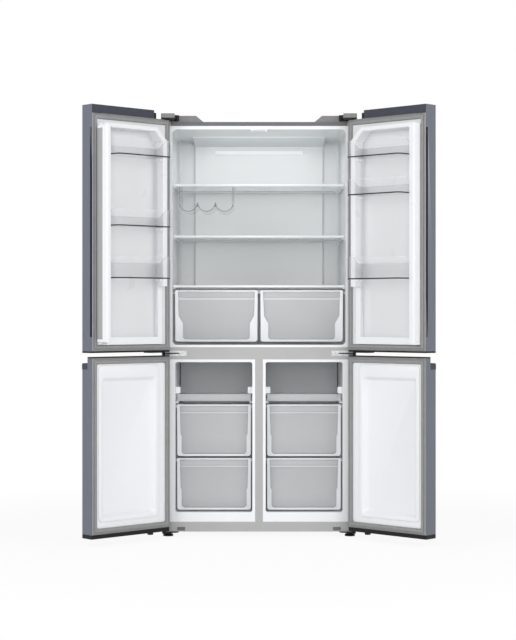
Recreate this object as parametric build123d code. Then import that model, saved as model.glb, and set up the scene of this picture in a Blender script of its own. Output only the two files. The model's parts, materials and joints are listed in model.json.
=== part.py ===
from build123d import *
import os

# Four-door refrigerator. Millimetres; X to the right, Y to the back, Z up, floor at Z = 0.
# The left-hand pieces are drawn with the doors closed, swung open, and mirrored for the right.

# Overall sizes
CABINET_WIDTH = 833.0
CABINET_DEPTH = 585.0  # front frame to rear panel, without the doors
FRIDGE_HEIGHT = 923.0  # clear height of the refrigerator space
FREEZER_HEIGHT = 643.0  # clear height of the freezer spaces
FRONT_Y = -118.0  # cabinet front plane, so the open footprint is centred on the origin

# Cabinet walls
SHEET = 1.2  # outer steel
LINER = 2.0  # inner plastic
FRAME = 3.0  # front frame sheet
FOOT_SPACE = 21.0  # floor to cabinet underside
FLOOR_WALL = 83.0
MIDDLE_WALL = 74.0
TOP_WALL = 32.0
SIDE_WALL = 45.0
BACK_WALL = 53.0
FREEZER_SIDE_WALL = 58.0
DIVIDER = 33.0  # grey strip between the freezer openings
DIVIDER_WALL = 57.0
FREEZER_LIP_TOP = 12.0
FRIDGE_LIP_BOTTOM = 10.0
FRIDGE_LIP_TOP = 15.0
FRIDGE_LIP_SIDE = 6.0
BOTTOM_BEAM = 42.0
LINER_CORNER = 18.0
FREEZER_CORNER = 10.0
LINER_SETBACK = 1.0  # liner flanges behind the cabinet front
SHELL_ROUND = 3.0
PANEL_RIB_WIDTH = 40.0
PANEL_RIB_PROUD = 2.0
PANEL_RIB_END = 120.0
PLUG_FROM_SIDE = 66.0
PLUG_WIDTH = 34.0
PLUG_HEIGHT = 15.0
PLUG_LIFT = 5.0
PLUG_PROUD = 1.5
PLUG_ROUND = 3.0

# Machine space at the rear bottom
MACHINE_DEPTH = 170.0
MACHINE_TOP = 250.0
HUMP_WALL = 50.0
MACHINE_FRONT_WALL = 40.0
DECK = 2.0
COVER_GAP = 1.0  # round the rear machine cover
LOUVRE_SHARES = (-0.62, -0.31, 0.31, 0.62)  # column centres as a share of the half width
LOUVRE_ROWS = 7
LOUVRE_PITCH = 22.0
LOUVRE_WIDTH = 96.0
LOUVRE_HEIGHT = 7.0
LOUVRE_LIFT = 40.0
GLAND_RADIUS = 10.0
GLAND_INSIDE = 12.0
GLAND_OUTSIDE = 14.0
GLAND_FLANGE_RADIUS = 15.0
GLAND_FLANGE = 4.0
CORD_RADIUS = 4.5

# Doors
DOOR_THICKNESS = 66.0
DOOR_GAP = 9.0  # door inner face to cabinet front
CENTRE_GAP = 6.0
DOOR_SPLIT = 16.0  # between upper and lower doors
DOOR_OVER_TOP = 39.0  # door top above the cabinet top
BODY_OVER_TOP = 4.0  # door body below its top cap, above the cabinet top
LOWER_DOOR_CLEAR = 8.0  # lower door above the cabinet underside
DOOR_SHEET = 1.2
DOOR_EDGE_ROUND = 3.0
DOOR_LINER = 2.5
UPPER_CAP = 7.0
LOWER_CAP = 17.0
LOWER_TOP_CAP = 5.0
NOTCH = 83.0  # hinge notch in the upper door's top cap
OPEN_ANGLE = 137.0

# Hinges
PIVOT_INSET = 11.0  # from the cabinet side
PIVOT_DEPTH = 22.0  # from the door inner face
PIN_RADIUS = 5.0
PIN_CLEARANCE = 0.05
PIN_REACH = 18.0  # pin length inside a door
PIN_END_GAP = 2.0
COVER_RADIUS = 61.5  # hinge cover keeps inside the sweep of the notch
COVER_WALL = 2.0
COVER_HEIGHT = 29.0  # above the cabinet top
COVER_NOSE_WIDTH = 57.0
COVER_SETBACK = 3.0  # nose behind the doors' outer faces
COVER_FOOT = 178.0  # width on the cabinet top
COVER_CROWN = 146.0  # width at its own top
COVER_REAR = 92.0
COVER_FRONT = 4.0
COVER_LAP = 8.0
COVER_CLEARANCE = 0.5
HINGE_PLATE = 3.0
HINGE_BOSS = 8.0
TOP_HINGE_LIFT = 2.0  # above the door body
TOP_HINGE_WIDTH = 52.0
TOP_HINGE_REAR = 70.0
TOP_HINGE_FOOT = 5.0
TOP_SCREW_FIRST = (8.0, 24.0)  # from the pivot across, from the cabinet front back
TOP_SCREW_STEP = (24.0, 30.0)
MIDDLE_HINGE_FROM = 34.0  # from the cabinet side
MIDDLE_HINGE_WIDTH = 72.0
MIDDLE_HINGE_HEIGHT = 22.0
MIDDLE_ARM = 4.0
MIDDLE_ARM_WIDTH = 42.0  # at the plate
MIDDLE_ARM_NOSE = (4.0, 8.0)  # past the pivot, across and forward
MIDDLE_BOSS = 9.0
MIDDLE_SCREWS_FROM = (84.0, 98.0)
BOTTOM_PLATE = 4.0
BOTTOM_HINGE_FROM = 3.0
BOTTOM_HINGE_WIDTH = 69.0
BOTTOM_HINGE_DEPTH = 62.0
BOTTOM_SCREW_FROM_SIDE = 58.0
BOTTOM_SCREWS_BACK = (18.0, 46.0)
SCREW_RADIUS = 3.0
SCREW_CLEARANCE = 0.1
SCREW_HEAD_RADIUS = 5.5
SCREW_HEAD = 3.5
SMALL_SCREW_RADIUS = 2.4
SMALL_SCREW_HEAD_RADIUS = 4.5
SMALL_SCREW_HEAD = 2.5

# Door inner side
GASKET_EDGE = 1.5
GASKET_WIDTH = 24.0
GASKET_BASE = 3.0
GASKET_CLEARANCE = 0.3
BULB_FROM = 11.5  # keeps the hinge-side bulb behind the pivot
BULB_WIDTH = 11.0
FIN_FROM = 2.5
FIN_WIDTH = 2.5
FIN_HEIGHT = 3.2
LINER_CLEARANCE = 6.0  # door liner inside the cabinet openings
RIM_HIGH = 50.0
RIM_LOW = 14.0
RIM_HINGE = 24.0
RIM_FREE = 52.0  # door edge to pocket
RIM_TOP = 18.0
RIM_BOTTOM = 30.0
RIM_ROUND = 4.0
RIM_CHAMFER = 55.0
POCKET_DEPTH = 10.0
FREEZER_PANEL_CLEARANCE = 1.0  # lower door panel to the cabinet front
FREEZER_PANEL_HINGE = 37.0  # seal to the raised panel, at the hinge side
FREEZER_PANEL_FREE = 6.0
FREEZER_PANEL_BOTTOM = 26.0
FREEZER_PANEL_TOP = 5.5
FREEZER_RIM_HINGE = 18.0  # panel's edge to its pocket, at the hinge side
FREEZER_RIM_FREE = 17.0
FREEZER_RIM_BOTTOM = 12.0
FREEZER_RIM_TOP = 51.0
GRIP_SLOT = 12.0
GRIP_SLOT_DEPTH = 20.0
GRIP_SLOT_LOW = 66.0  # slot ends above the door bottom
GRIP_SLOT_HIGH = 60.0  # slot ends below the door body top
GRIP_STEP = 37.0
GRIP_HEIGHT = 26.0
GRIP_LEDGE = 9.0
GRIP_BACK = 3.0
GRIP_FLOOR = 5.0
GRIP_END = 4.0
GRIP_CHAMFER = 5.0
POCKET_CHAMFER = 41.0
RIM_END_DROP = 30.0  # high rim ends below the lowest bin
FREEZER_RIM_ROUND = 18.0
FREEZER_POCKET_ROUND = 10.0
STOP_POST = 18.0
STOP_POST_FROM = 60.0  # from the hinge edge
STOP_POST_BACK = 14.0  # behind the outer face
STOP_POST_DROP = 14.0

# Door bins: level of the underside as a share of the top bin's, from the pocket's floor, and front height
BIN_LEVELS_LEFT = (1.0, 0.610, 0.324)
BIN_LEVELS_RIGHT = (1.0, 0.789, 0.321)
TOP_BIN_HEIGHT = 69.0
BIN_HEIGHTS_LEFT = (TOP_BIN_HEIGHT, 70.0, 91.0)
BIN_HEIGHTS_RIGHT = (TOP_BIN_HEIGHT, 66.0, 92.0)
BIN_TOP_GAP = 3.5  # top bin below the pocket's chamfer
BIN_REACH = 110.0  # beyond the door inner face
BIN_WALL = 2.6
BIN_CLEARANCE = 1.0
BIN_ROUND = 22.0
BIN_LUG = 9.0
BIN_LUG_FROM = 12.0
BIN_LUG_TO = 40.0
BIN_SIDE_DROP = 24.0  # sides lower than the front
BIN_SLOPE_FROM = 40.0
BIN_SLOPE_TO = 72.0

# Flip mullion on the left upper door
MULLION_THICKNESS = 22.0
MULLION_WIDTH = 66.0
MULLION_TAIL = 8.0  # behind its pivot
MULLION_FROM_EDGE = 29.0  # pivot to door free edge
MULLION_PIN = 3.0
MULLION_END_GAP = 1.0
MULLION_BRACKET = 7.0
MULLION_LINER_GAP = 2.0  # brackets inside the liner's plateau
MULLION_PIN_REACH = 12.0
MULLION_ROUND = 4.0
MULLION_ROOM = 2.5  # folded mullion to the liner's plateau
LUG_REACH = 6.0
LUG_LEFT = 7.0
LUG_RIGHT = 3.0
STRIP = 1.0
GUIDE_WIDTH = 70.0
GUIDE_FROM = 6.0
GUIDE_TO = 40.0
GUIDE_DROP = 5.5
GUIDE_WALL = 11.0
GUIDE_FLOOR = 2.5
GUIDE_ROUND = 3.0

# Shelves and drawers
SHELF_LEVELS = (0.753, 0.511)
SHELF_SETBACK = 118.0
SHELF_GLASS = 4.0
SHELF_SIDE_CLEAR = 2.0
SHELF_RIB = 10.0
TRIM_DEPTH = 14.0
TRIM_OVER = 3.0
TRIM_GROOVE = 6.0
TRIM_ROUND = 3.0
REAR_TRIM_OVER = 8.0
REAR_TRIM_SHORT = 20.0  # rear trim inside the glass at each end
SHELF_BACK_GAP = 6.0
RIB_BEHIND_TRIM = 4.0
RIB_END = 60.0
CRISPER_SETBACK = 50.0
CRISPER_HEIGHT = 222.0
CRISPER_LIFT = 13.0  # crisper underside above the floor
CRISPER_COVER_GAP = 11.0
CRISPER_BEHIND_COVER = 12.0
CRISPER_BACK_GAP = 30.0
CRISPER_STEP = 16.0  # sides step in at half height
CRISPER_SIDE_EXTRA = 3.0
CRISPER_RAIL_FROM = 40.0  # behind the cover's front
CRISPER_RAIL_WEB = 5.0
DRAWER_SETBACK = 34.0
DRAWER_BACK_GAP = 8.0
LOW_DRAWER_BACK_GAP = 20.0
DRAWER_HEIGHT = 222.0
DRAWER_LIFT = 7.0
DRAWER_GAP = 9.0
DRAWER_WALL = 2.6
DRAWER_SIDE_CLEAR = 6.0
DRAWER_FLANGE = 7.0
FLANGE_THICKNESS = 5.0
RUNNER = 9.5
RUNNER_CLEARANCE = 0.5
RUNNER_SIDE_CLEAR = 1.5
RUNNER_FROM = 20.0  # behind the drawer fronts
RUNNER_END = 12.0
LOW_RUNNER_END = 30.0
CRISPER_RUNNER_END = 40.0
FRONT_FRAME = 6.0
FRAME_SIDE = 14.0
FRAME_TOP = 10.0
FRAME_FACE = 2.0  # frame in front of the tub
FRAME_ROUND = 10.0
FRAME_CHAMFER = 1.2
TUB_ROUND = 18.0
TRAY_GAP = 14.0
TRAY_LIP = 30.0
TRAY_FLOOR = 3.0
TRAY_SIDE_DROP = 12.0
TRAY_LIP_RETURN = 24.0
TRAY_ROUND = 2.0
STOP_WIDTH = 14.0
STOP_HEIGHT = 28.0
STOP_DEPTH = 14.0
STOP_LIFT = 3.0
STOP_GAP = 2.0  # stop's back in front of the lip's return
STOP_ROUND = 3.0
DUCT_THICKNESS = 14.0
DUCT_WIDTH = 591.0
DUCT_LIFT = 60.0
DUCT_ROUND = 5.0
DUCT_FAIRING_SHARE = 0.57  # fairing starts this far back on the ceiling
FAIRING_EDGE = 4.0
FAIRING_BACK_EDGE = 6.0
OUTLET_LIFT = 60.0  # above a shelf
OUTLET_HEIGHT = 40.0
OUTLET_DEPTH = 8.0
OUTLET_LIP = 4.0
FREEZER_DUCT_SPACE = 90.0
FREEZER_DUCT = 3.0
FREEZER_DUCT_CLEAR = 3.0
FREEZER_OUTLET_LIFTS = (60.0, 150.0, 240.0)  # above the machine hump
FREEZER_OUTLETS = 4
FREEZER_OUTLET_WIDTH = 56.0
FREEZER_OUTLET_HEIGHT = 8.0
LAMP_WIDTH = 402.0
LAMP_HEIGHT = 18.0
LAMP_THICKNESS = 4.0
LAMP_DROP = 52.0
LAMP_ROUND = 2.0

# Bottle rack
BOTTLE_RADIUS = 37.0
BOTTLE_PITCH = 78.5
BOTTLES = 3
RACK_WALL = 3.0
RACK_DROP = 112.0
RACK_DEPTH = 260.0
RACK_FROM_RIB = 14.0
RACK_BEHIND_TRIM = 3.0
RACK_FLANGE = 10.0
RACK_SCALLOP = 0.55  # underside follows the bottles up to this share of the radius

# Feet, rollers and machinery
FOOT_RADIUS = 22.0
FOOT_INSET = 26.0  # from the cabinet side and front
FOOT_PAD = 9.0
FOOT_ROUND = 4.0
FOOT_NUT_RADIUS = 12.0
FOOT_NUT_TOP = 15.0
STUD_RADIUS = 5.0
STUD_CLEARANCE = 0.3
STUD_REACH = 14.0  # above the cabinet underside
FOOT_TRAVEL = 12.0
DECK_HOLE_CLEARANCE = 1.0
FOAM_HOLE_CLEARANCE = 2.0
ROLLER_RADIUS = 19.0
ROLLER_WIDTH = 22.0
ROLLER_ROUND = 2.0
ROLLER_INSET = 62.0  # from the cabinet side and back
ROLLER_SIDE_GAP = 1.5
ROLLER_WINDOW = 4.0
AXLE_RADIUS = 4.0
AXLE_CLEARANCE = 0.06
AXLE_PLATE = 3.0
AXLE_PLATE_REACH = 14.0
AXLE_PLATE_LOW = 9.0
COMPRESSOR_RADIUS = 70.0
COMPRESSOR_HEIGHT = 150.0
COMPRESSOR_ROUND = 38.0
COMPRESSOR_SHARE = 0.42  # of the half width, from the middle
COMPRESSOR_PLATE = (184.0, 104.0, 3.0)
COMPRESSOR_FOOT_HEIGHT = 14.0
COMPRESSOR_FOOT_RADIUS = 11.0
COMPRESSOR_FOOT_INSET = 14.0
TERMINAL_FROM = 40.0
TERMINAL_OVER = 4.0  # past the plate's end
TERMINAL_WIDTH = 52.0
TERMINAL_LEVELS = (45.0, 110.0)
DRAIN_PAN = (210.0, 132.0, 28.0)
DRAIN_PAN_WALL = 2.0
CONDENSER_TUBE = 3.0
CONDENSER_ROWS = 8
CONDENSER_PITCH = 24.0
CONDENSER_SHARES = (-0.93, -0.46)
CONDENSER_LIFT = 20.0
CONDENSER_PLATE = (3.0, 24.0)
CONDENSER_PLATES_FROM = (70.0, 40.0)  # from the coil's two ends
CONDENSER_PLATE_OVER = 10.0
FAN_RADIUS = 64.0
FAN_HUB = 20.0
FAN_LENGTH = 24.0
FAN_SHARE = -0.28
FAN_BLADES = 5
BLADE = 2.4
BLADE_PITCH = 32.0
BLADE_ROOT = 4.0
MOTOR_RADIUS = 24.0
MOTOR_LENGTH = 42.0
MOTOR_FROM = 20.0  # behind the rotor's middle
MOTOR_POST = (12.0, 32.0)
SHAFT_PAST_HUB = 2.0
EVAPORATOR_FINS = 24
EVAPORATOR_ROWS = 6
EVAPORATOR_INSET = 18.0
EVAPORATOR_BACK_GAP = 14.0
EVAPORATOR_FIN = 1.2
EVAPORATOR_FIN_LIFT = 12.0
EVAPORATOR_TUBE = 4.0
EVAPORATOR_BEND = 6.0
EVAPORATOR_BELOW_FAN = 20.0
COOL_FAN_RADIUS = 52.0
COOL_FAN_HUB = 16.0
COOL_FAN_LENGTH = 18.0
COOL_FAN_DROP = 120.0  # below the freezer ceiling
COOL_FAN_GAP = 44.0  # rotor's middle to the back of the space
COOL_MOTOR_RADIUS = 20.0
COOL_MOTOR_LENGTH = 30.0
SHAFT_RADIUS = 3.0
SHAFT_CLEARANCE = 0.06
PAST = 1.0  # how far a cut passes the face that it opens

# Levels
BASE_Z = FOOT_SPACE
FREEZER_FLOOR = BASE_Z + FLOOR_WALL
FREEZER_CEILING = FREEZER_FLOOR + FREEZER_HEIGHT
FRIDGE_FLOOR = FREEZER_CEILING + MIDDLE_WALL
FRIDGE_CEILING = FRIDGE_FLOOR + FRIDGE_HEIGHT
CABINET_TOP = FRIDGE_CEILING + TOP_WALL
BEAM_TOP = BASE_Z + BOTTOM_BEAM
MID_BEAM_BOTTOM = FREEZER_CEILING + FREEZER_LIP_TOP
MID_BEAM_TOP = FRIDGE_FLOOR - FRIDGE_LIP_BOTTOM
TOP_RAIL_BOTTOM = FRIDGE_CEILING + FRIDGE_LIP_TOP
HUMP_TOP = MACHINE_TOP + HUMP_WALL
SPLIT_Z = (MID_BEAM_BOTTOM + MID_BEAM_TOP) / 2
UPPER_BOTTOM = SPLIT_Z + DOOR_SPLIT / 2
UPPER_BODY_TOP = CABINET_TOP + BODY_OVER_TOP
DOOR_TOP = CABINET_TOP + DOOR_OVER_TOP
LOWER_BOTTOM = BASE_Z + LOWER_DOOR_CLEAR
LOWER_TOP = SPLIT_Z - DOOR_SPLIT / 2
GRIP_TOP = LOWER_TOP - GRIP_HEIGHT
GRIP_BOTTOM = GRIP_TOP - GRIP_HEIGHT

# Places across and in depth
HALF = CABINET_WIDTH / 2
FRONT = FRONT_Y
BACK = FRONT + CABINET_DEPTH
SHELL_X = HALF - SHEET
IN_X = HALF - SIDE_WALL
FREEZER_OUT_X = HALF - FREEZER_SIDE_WALL
FREEZER_IN_X = DIVIDER_WALL / 2
FLANGE_X = IN_X + FRIDGE_LIP_SIDE
SPACE_BACK = BACK - BACK_WALL
MACHINE_FRONT = BACK - MACHINE_DEPTH
LOW_BACK = MACHINE_FRONT - MACHINE_FRONT_WALL
DOOR_IN_Y = FRONT - DOOR_GAP
DOOR_OUT_Y = DOOR_IN_Y - DOOR_THICKNESS
DOOR_X0 = -HALF
DOOR_X1 = -CENTRE_GAP / 2
PIVOT_X = -HALF + PIVOT_INSET
PIVOT_Y = DOOR_IN_Y - PIVOT_DEPTH
GASKET_HEIGHT = DOOR_GAP - GASKET_CLEARANCE
LINER_INSET = GASKET_EDGE + GASKET_WIDTH
FREEZER_RIM = DOOR_GAP - FREEZER_PANEL_CLEARANCE
MULLION_X = DOOR_X1 - MULLION_FROM_EDGE
MULLION_Y = FRONT + MULLION_THICKNESS / 2
MULLION_ENDS = LINER_CLEARANCE + MULLION_LINER_GAP + MULLION_BRACKET + MULLION_END_GAP
MULLION_Z0 = FRIDGE_FLOOR + MULLION_ENDS
MULLION_Z1 = FRIDGE_CEILING - MULLION_ENDS
DUCT_Y = SPACE_BACK - DUCT_THICKNESS
FREEZER_DUCT_Y = SPACE_BACK - FREEZER_DUCT_SPACE
CRISPER_Z = FRIDGE_FLOOR + CRISPER_LIFT
CRISPER_TOP = CRISPER_Z + CRISPER_HEIGHT
CRISPER_COVER = CRISPER_TOP + CRISPER_COVER_GAP + SHELF_GLASS * 2
SHELF_Z = [FRIDGE_FLOOR + share * FRIDGE_HEIGHT for share in SHELF_LEVELS]
LOW_DRAWER_Z = FREEZER_FLOOR + DRAWER_LIFT
UP_DRAWER_Z = LOW_DRAWER_Z + DRAWER_HEIGHT + DRAWER_GAP
TRAY_Z = UP_DRAWER_Z + DRAWER_HEIGHT + TRAY_GAP
DRAWER_X0 = -FREEZER_OUT_X + DRAWER_SIDE_CLEAR
DRAWER_X1 = -FREEZER_IN_X - DRAWER_SIDE_CLEAR
CRISPER_X0 = -IN_X + DRAWER_SIDE_CLEAR + CRISPER_SIDE_EXTRA
CRISPER_X1 = -DRAWER_SIDE_CLEAR
FOOT_X = -HALF + FOOT_INSET
FOOT_Y = FRONT + FOOT_INSET
ROLLER_X = -HALF + ROLLER_INSET
ROLLER_Y = BACK - ROLLER_INSET
MACHINE_Y = (MACHINE_FRONT + DECK + BACK) / 2
COMPRESSOR_X = COMPRESSOR_SHARE * HALF
FAN_X = FAN_SHARE * HALF
FAN_Z = (BASE_Z + MACHINE_TOP) / 2
EVAPORATOR_X0 = -FREEZER_OUT_X + EVAPORATOR_INSET
EVAPORATOR_X1 = -FREEZER_IN_X - EVAPORATOR_INSET
COOL_FAN_X = (EVAPORATOR_X0 + EVAPORATOR_X1) / 2
COOL_FAN_Y = SPACE_BACK - COOL_FAN_GAP
COOL_FAN_Z = FREEZER_CEILING - COOL_FAN_DROP


def block(x0, x1, y0, y1, z0, z1):
    return Pos((x0 + x1) / 2, (y0 + y1) / 2, (z0 + z1) / 2) * Box(x1 - x0, y1 - y0, z1 - z0)


def rod(x, y, z0, z1, radius):
    return Pos(x, y, (z0 + z1) / 2) * Cylinder(radius, z1 - z0)


def rod_x(x0, x1, y, z, radius):
    return Pos((x0 + x1) / 2, y, z) * Rot(0, 90, 0) * Cylinder(radius, x1 - x0)


def rod_y(x, y0, y1, z, radius):
    return Pos(x, (y0 + y1) / 2, z) * Rot(90, 0, 0) * Cylinder(radius, y1 - y0)


def outline(points):
    return make_face(Polyline(*points, close=True))


def grown(face, amount):
    """Outline moved outwards, or inwards when negative, with sharp corners kept."""
    return offset(face, amount, kind=Kind.INTERSECTION) if amount else face


def rectangle(x0, x1, z0, z1):
    return Pos((x0 + x1) / 2, (z0 + z1) / 2) * Rectangle(x1 - x0, z1 - z0)


def prism_y(face, y0, y1):
    """Extrude an X-Z outline from y0 to y1."""
    plane = Plane(origin=(0, y1, 0), x_dir=(1, 0, 0), z_dir=(0, -1, 0))
    return extrude(plane * face, y1 - y0)


def prism_x(face, x0, x1):
    """Extrude a Y-Z outline from x0 to x1."""
    plane = Plane(origin=(x0, 0, 0), x_dir=(0, 1, 0), z_dir=(1, 0, 0))
    return extrude(plane * face, x1 - x0)


def prism_z(face, z0, z1):
    return extrude(Plane.XY.offset(z0) * face, z1 - z0)


def open_box(x0, x1, y0, y1, z0, z1, radius):
    """Block with every edge rounded but those of its front face."""
    shape = block(x0, x1, y0, y1, z0, z1)
    edges = shape.edges().filter_by(lambda e: e.center().Y > y0 + 0.1)
    return fillet(edges, radius)


def both(shape):
    return [shape, mirror(shape, about=Plane.YZ)]


def swing(shape):
    """Turn a closed left door piece to its open rest place."""
    turn = Pos(PIVOT_X, PIVOT_Y, 0) * Rot(0, 0, -OPEN_ANGLE) * Pos(-PIVOT_X, -PIVOT_Y, 0)
    return turn * shape


def cabinet_shell():
    profile = rectangle(-HALF, HALF, BASE_Z, CABINET_TOP)
    profile = fillet(profile.vertices().group_by(Axis.Y)[-1], SHELL_ROUND)
    shell = prism_y(profile, FRONT, BACK)
    return shell - block(-SHELL_X, SHELL_X, FRONT - PAST, BACK + PAST, BASE_Z - PAST, CABINET_TOP - SHEET)


def rear_panel():
    panel = block(-SHELL_X, SHELL_X, BACK - SHEET, BACK, MACHINE_TOP, CABINET_TOP - SHEET)
    half = PANEL_RIB_WIDTH / 2
    for x in (-HALF / 2, 0, HALF / 2):
        panel += block(x - half, x + half, BACK - SHEET, BACK + PANEL_RIB_PROUD,
                       MACHINE_TOP + PANEL_RIB_END, CABINET_TOP - PANEL_RIB_END)
    return panel


def front_frame():
    top = CABINET_TOP - SHEET
    back = FRONT + FRAME
    flange = block(-SHELL_X, -FLANGE_X, FRONT, back, BASE_Z, top)
    rail = block(-FLANGE_X, FLANGE_X, FRONT, back, TOP_RAIL_BOTTOM, top)
    middle = block(-FLANGE_X, FLANGE_X, FRONT, back, MID_BEAM_BOTTOM, MID_BEAM_TOP)
    bottom = block(-FLANGE_X, FLANGE_X, FRONT, back, BASE_Z, BEAM_TOP)
    divider = block(-DIVIDER / 2, DIVIDER / 2, FRONT, back, BEAM_TOP, MID_BEAM_BOTTOM)
    return both(flange) + [rail, middle, bottom, divider]


def frame_plugs():
    x0 = -HALF + PLUG_FROM_SIDE
    z0 = BASE_Z + PLUG_LIFT
    plug = block(x0, x0 + PLUG_WIDTH, FRONT - PLUG_PROUD, FRONT, z0, z0 + PLUG_HEIGHT)
    plug = fillet(plug.edges().filter_by(Axis.Y), PLUG_ROUND)
    return both(plug)


def fridge_liner():
    front = FRONT + LINER_SETBACK
    outer = open_box(-IN_X - LINER, IN_X + LINER, front, SPACE_BACK + LINER,
                     FRIDGE_FLOOR - LINER, FRIDGE_CEILING + LINER, LINER_CORNER + LINER)
    inner = open_box(-IN_X, IN_X, FRONT - PAST, SPACE_BACK, FRIDGE_FLOOR, FRIDGE_CEILING, LINER_CORNER)
    flange = block(-FLANGE_X, FLANGE_X, front, front + LINER, MID_BEAM_TOP, TOP_RAIL_BOTTOM)
    liner = outer + flange - inner
    for level, setback in shelf_places():
        top = level - SHELF_GLASS
        y0 = FRONT + setback + TRIM_DEPTH + RIB_BEHIND_TRIM
        rib = block(-IN_X - LINER / 2, -IN_X + SHELF_RIB, y0, SPACE_BACK - RIB_END, top - SHELF_RIB, top)
        for piece in both(rib):
            liner += piece
    return liner


def freezer_liner():
    t = LINER
    x0 = -FREEZER_OUT_X
    x1 = -FREEZER_IN_X
    front = FRONT + LINER_SETBACK
    top = FREEZER_CEILING + t
    corner = FREEZER_CORNER + t
    high = open_box(x0 - t, x1 + t, front, SPACE_BACK + t, HUMP_TOP - t, top, corner)
    low = open_box(x0 - t, x1 + t, front, LOW_BACK + t, FREEZER_FLOOR - t, top, corner)
    high_in = open_box(x0, x1, FRONT - PAST, SPACE_BACK, HUMP_TOP, FREEZER_CEILING, FREEZER_CORNER)
    low_in = open_box(x0, x1, FRONT - PAST, LOW_BACK, FREEZER_FLOOR, FREEZER_CEILING, FREEZER_CORNER)
    flange = block(-FLANGE_X, -DIVIDER / 2, front, front + t, BEAM_TOP, MID_BEAM_BOTTOM)
    return high + low + flange - high_in - low_in


def insulation():
    t = LINER
    y0 = FRONT + FRAME
    y1 = BACK - SHEET
    side_top = FREEZER_CEILING + t
    deck_top = BASE_Z + DECK
    hump = HUMP_TOP - t
    left = -FREEZER_OUT_X - t
    right = -FREEZER_IN_X + t
    single = [
        block(-SHELL_X, SHELL_X, y0, y1, FRIDGE_CEILING + t, CABINET_TOP - SHEET),
        block(-IN_X - t, IN_X + t, SPACE_BACK + t, y1, FRIDGE_FLOOR - t, FRIDGE_CEILING + t),
        block(-SHELL_X, SHELL_X, y0, y1, side_top, FRIDGE_FLOOR - t),
        block(right, -right, y0, y1, hump, side_top),
        block(right, -right, y0, MACHINE_FRONT, FREEZER_FLOOR - t, hump),
        block(-SHELL_X, SHELL_X, MACHINE_FRONT, y1, MACHINE_TOP, hump),
        block(-SHELL_X, SHELL_X, y0, MACHINE_FRONT, deck_top, FREEZER_FLOOR - t),
    ]
    hole_top = BASE_Z + STUD_REACH + FOOT_TRAVEL
    for x in (FOOT_X, -FOOT_X):
        single[-1] -= rod(x, FOOT_Y, deck_top, hole_top, STUD_RADIUS + FOAM_HOLE_CLEARANCE)
    paired = [
        block(-SHELL_X, -IN_X - t, y0, y1, FRIDGE_FLOOR - t, FRIDGE_CEILING + t),
        block(-SHELL_X, left, y0, y1, hump, side_top),
        block(-SHELL_X, left, y0, MACHINE_FRONT, FREEZER_FLOOR - t, hump),
        block(left, right, SPACE_BACK + t, y1, hump, side_top),
        block(left, right, LOW_BACK + t, MACHINE_FRONT, FREEZER_FLOOR - t, hump),
    ]
    return single + [piece for slab in paired for piece in both(slab)]


def bottom_deck():
    y1 = BACK - SHEET
    deck = block(-SHELL_X, SHELL_X, FRONT + FRAME, MACHINE_FRONT, BASE_Z, BASE_Z + DECK)
    deck += block(-SHELL_X, SHELL_X, MACHINE_FRONT, MACHINE_FRONT + DECK, BASE_Z, MACHINE_TOP)
    deck += block(-SHELL_X, SHELL_X, MACHINE_FRONT, y1, MACHINE_TOP - DECK, MACHINE_TOP)
    for x in (FOOT_X, -FOOT_X):
        deck -= rod(x, FOOT_Y, BASE_Z - PAST, BASE_Z + DECK + PAST, STUD_RADIUS + DECK_HOLE_CLEARANCE)
    return deck


def compressor_base():
    z0 = BASE_Z
    z1 = z0 + DECK
    plate = block(-SHELL_X, SHELL_X, MACHINE_FRONT + DECK, BACK, z0, z1)
    half = ROLLER_WIDTH / 2 + ROLLER_SIDE_GAP
    reach = ROLLER_RADIUS + ROLLER_WINDOW
    y0 = ROLLER_Y - AXLE_PLATE_REACH
    y1 = ROLLER_Y + AXLE_PLATE_REACH
    for x in (ROLLER_X, -ROLLER_X):
        plate -= block(x - half, x + half, ROLLER_Y - reach, ROLLER_Y + reach, z0 - PAST, z1 + PAST)
        plate += block(x - half - AXLE_PLATE, x - half, y0, y1, AXLE_PLATE_LOW, z1)
        plate += block(x + half, x + half + AXLE_PLATE, y0, y1, AXLE_PLATE_LOW, z1)
        plate += rod_x(x - half - AXLE_PLATE, x + half + AXLE_PLATE, ROLLER_Y, ROLLER_RADIUS, AXLE_RADIUS)
    return plate


def rear_roller():
    x0 = ROLLER_X - ROLLER_WIDTH / 2
    x1 = ROLLER_X + ROLLER_WIDTH / 2
    wheel = rod_x(x0, x1, ROLLER_Y, ROLLER_RADIUS, ROLLER_RADIUS)
    wheel = fillet(wheel.edges(), ROLLER_ROUND)
    return wheel - rod_x(x0, x1, ROLLER_Y, ROLLER_RADIUS, AXLE_RADIUS + AXLE_CLEARANCE)


def machine_cover():
    y0 = BACK - SHEET
    z0 = BASE_Z + DECK + COVER_GAP
    cover = block(-SHELL_X, SHELL_X, y0, BACK, z0, MACHINE_TOP - COVER_GAP)
    for share in LOUVRE_SHARES:
        x0 = share * HALF - LOUVRE_WIDTH / 2
        for row in range(LOUVRE_ROWS):
            z = z0 + LOUVRE_LIFT + row * LOUVRE_PITCH
            cover -= block(x0, x0 + LOUVRE_WIDTH, y0 - PAST, BACK + PAST, z, z + LOUVRE_HEIGHT)
    return cover - rod_y(0, y0 - PAST, BACK + PAST, FAN_Z, GLAND_RADIUS)


def cord_inlet():
    y0 = BACK - SHEET - GLAND_INSIDE
    y1 = BACK - SHEET + GLAND_OUTSIDE
    gland = rod_y(0, y0, y1, FAN_Z, GLAND_RADIUS)
    gland += rod_y(0, BACK, BACK + GLAND_FLANGE, FAN_Z, GLAND_FLANGE_RADIUS)
    return gland - rod_y(0, y0 - PAST, y1 + PAST, FAN_Z, CORD_RADIUS)


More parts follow.
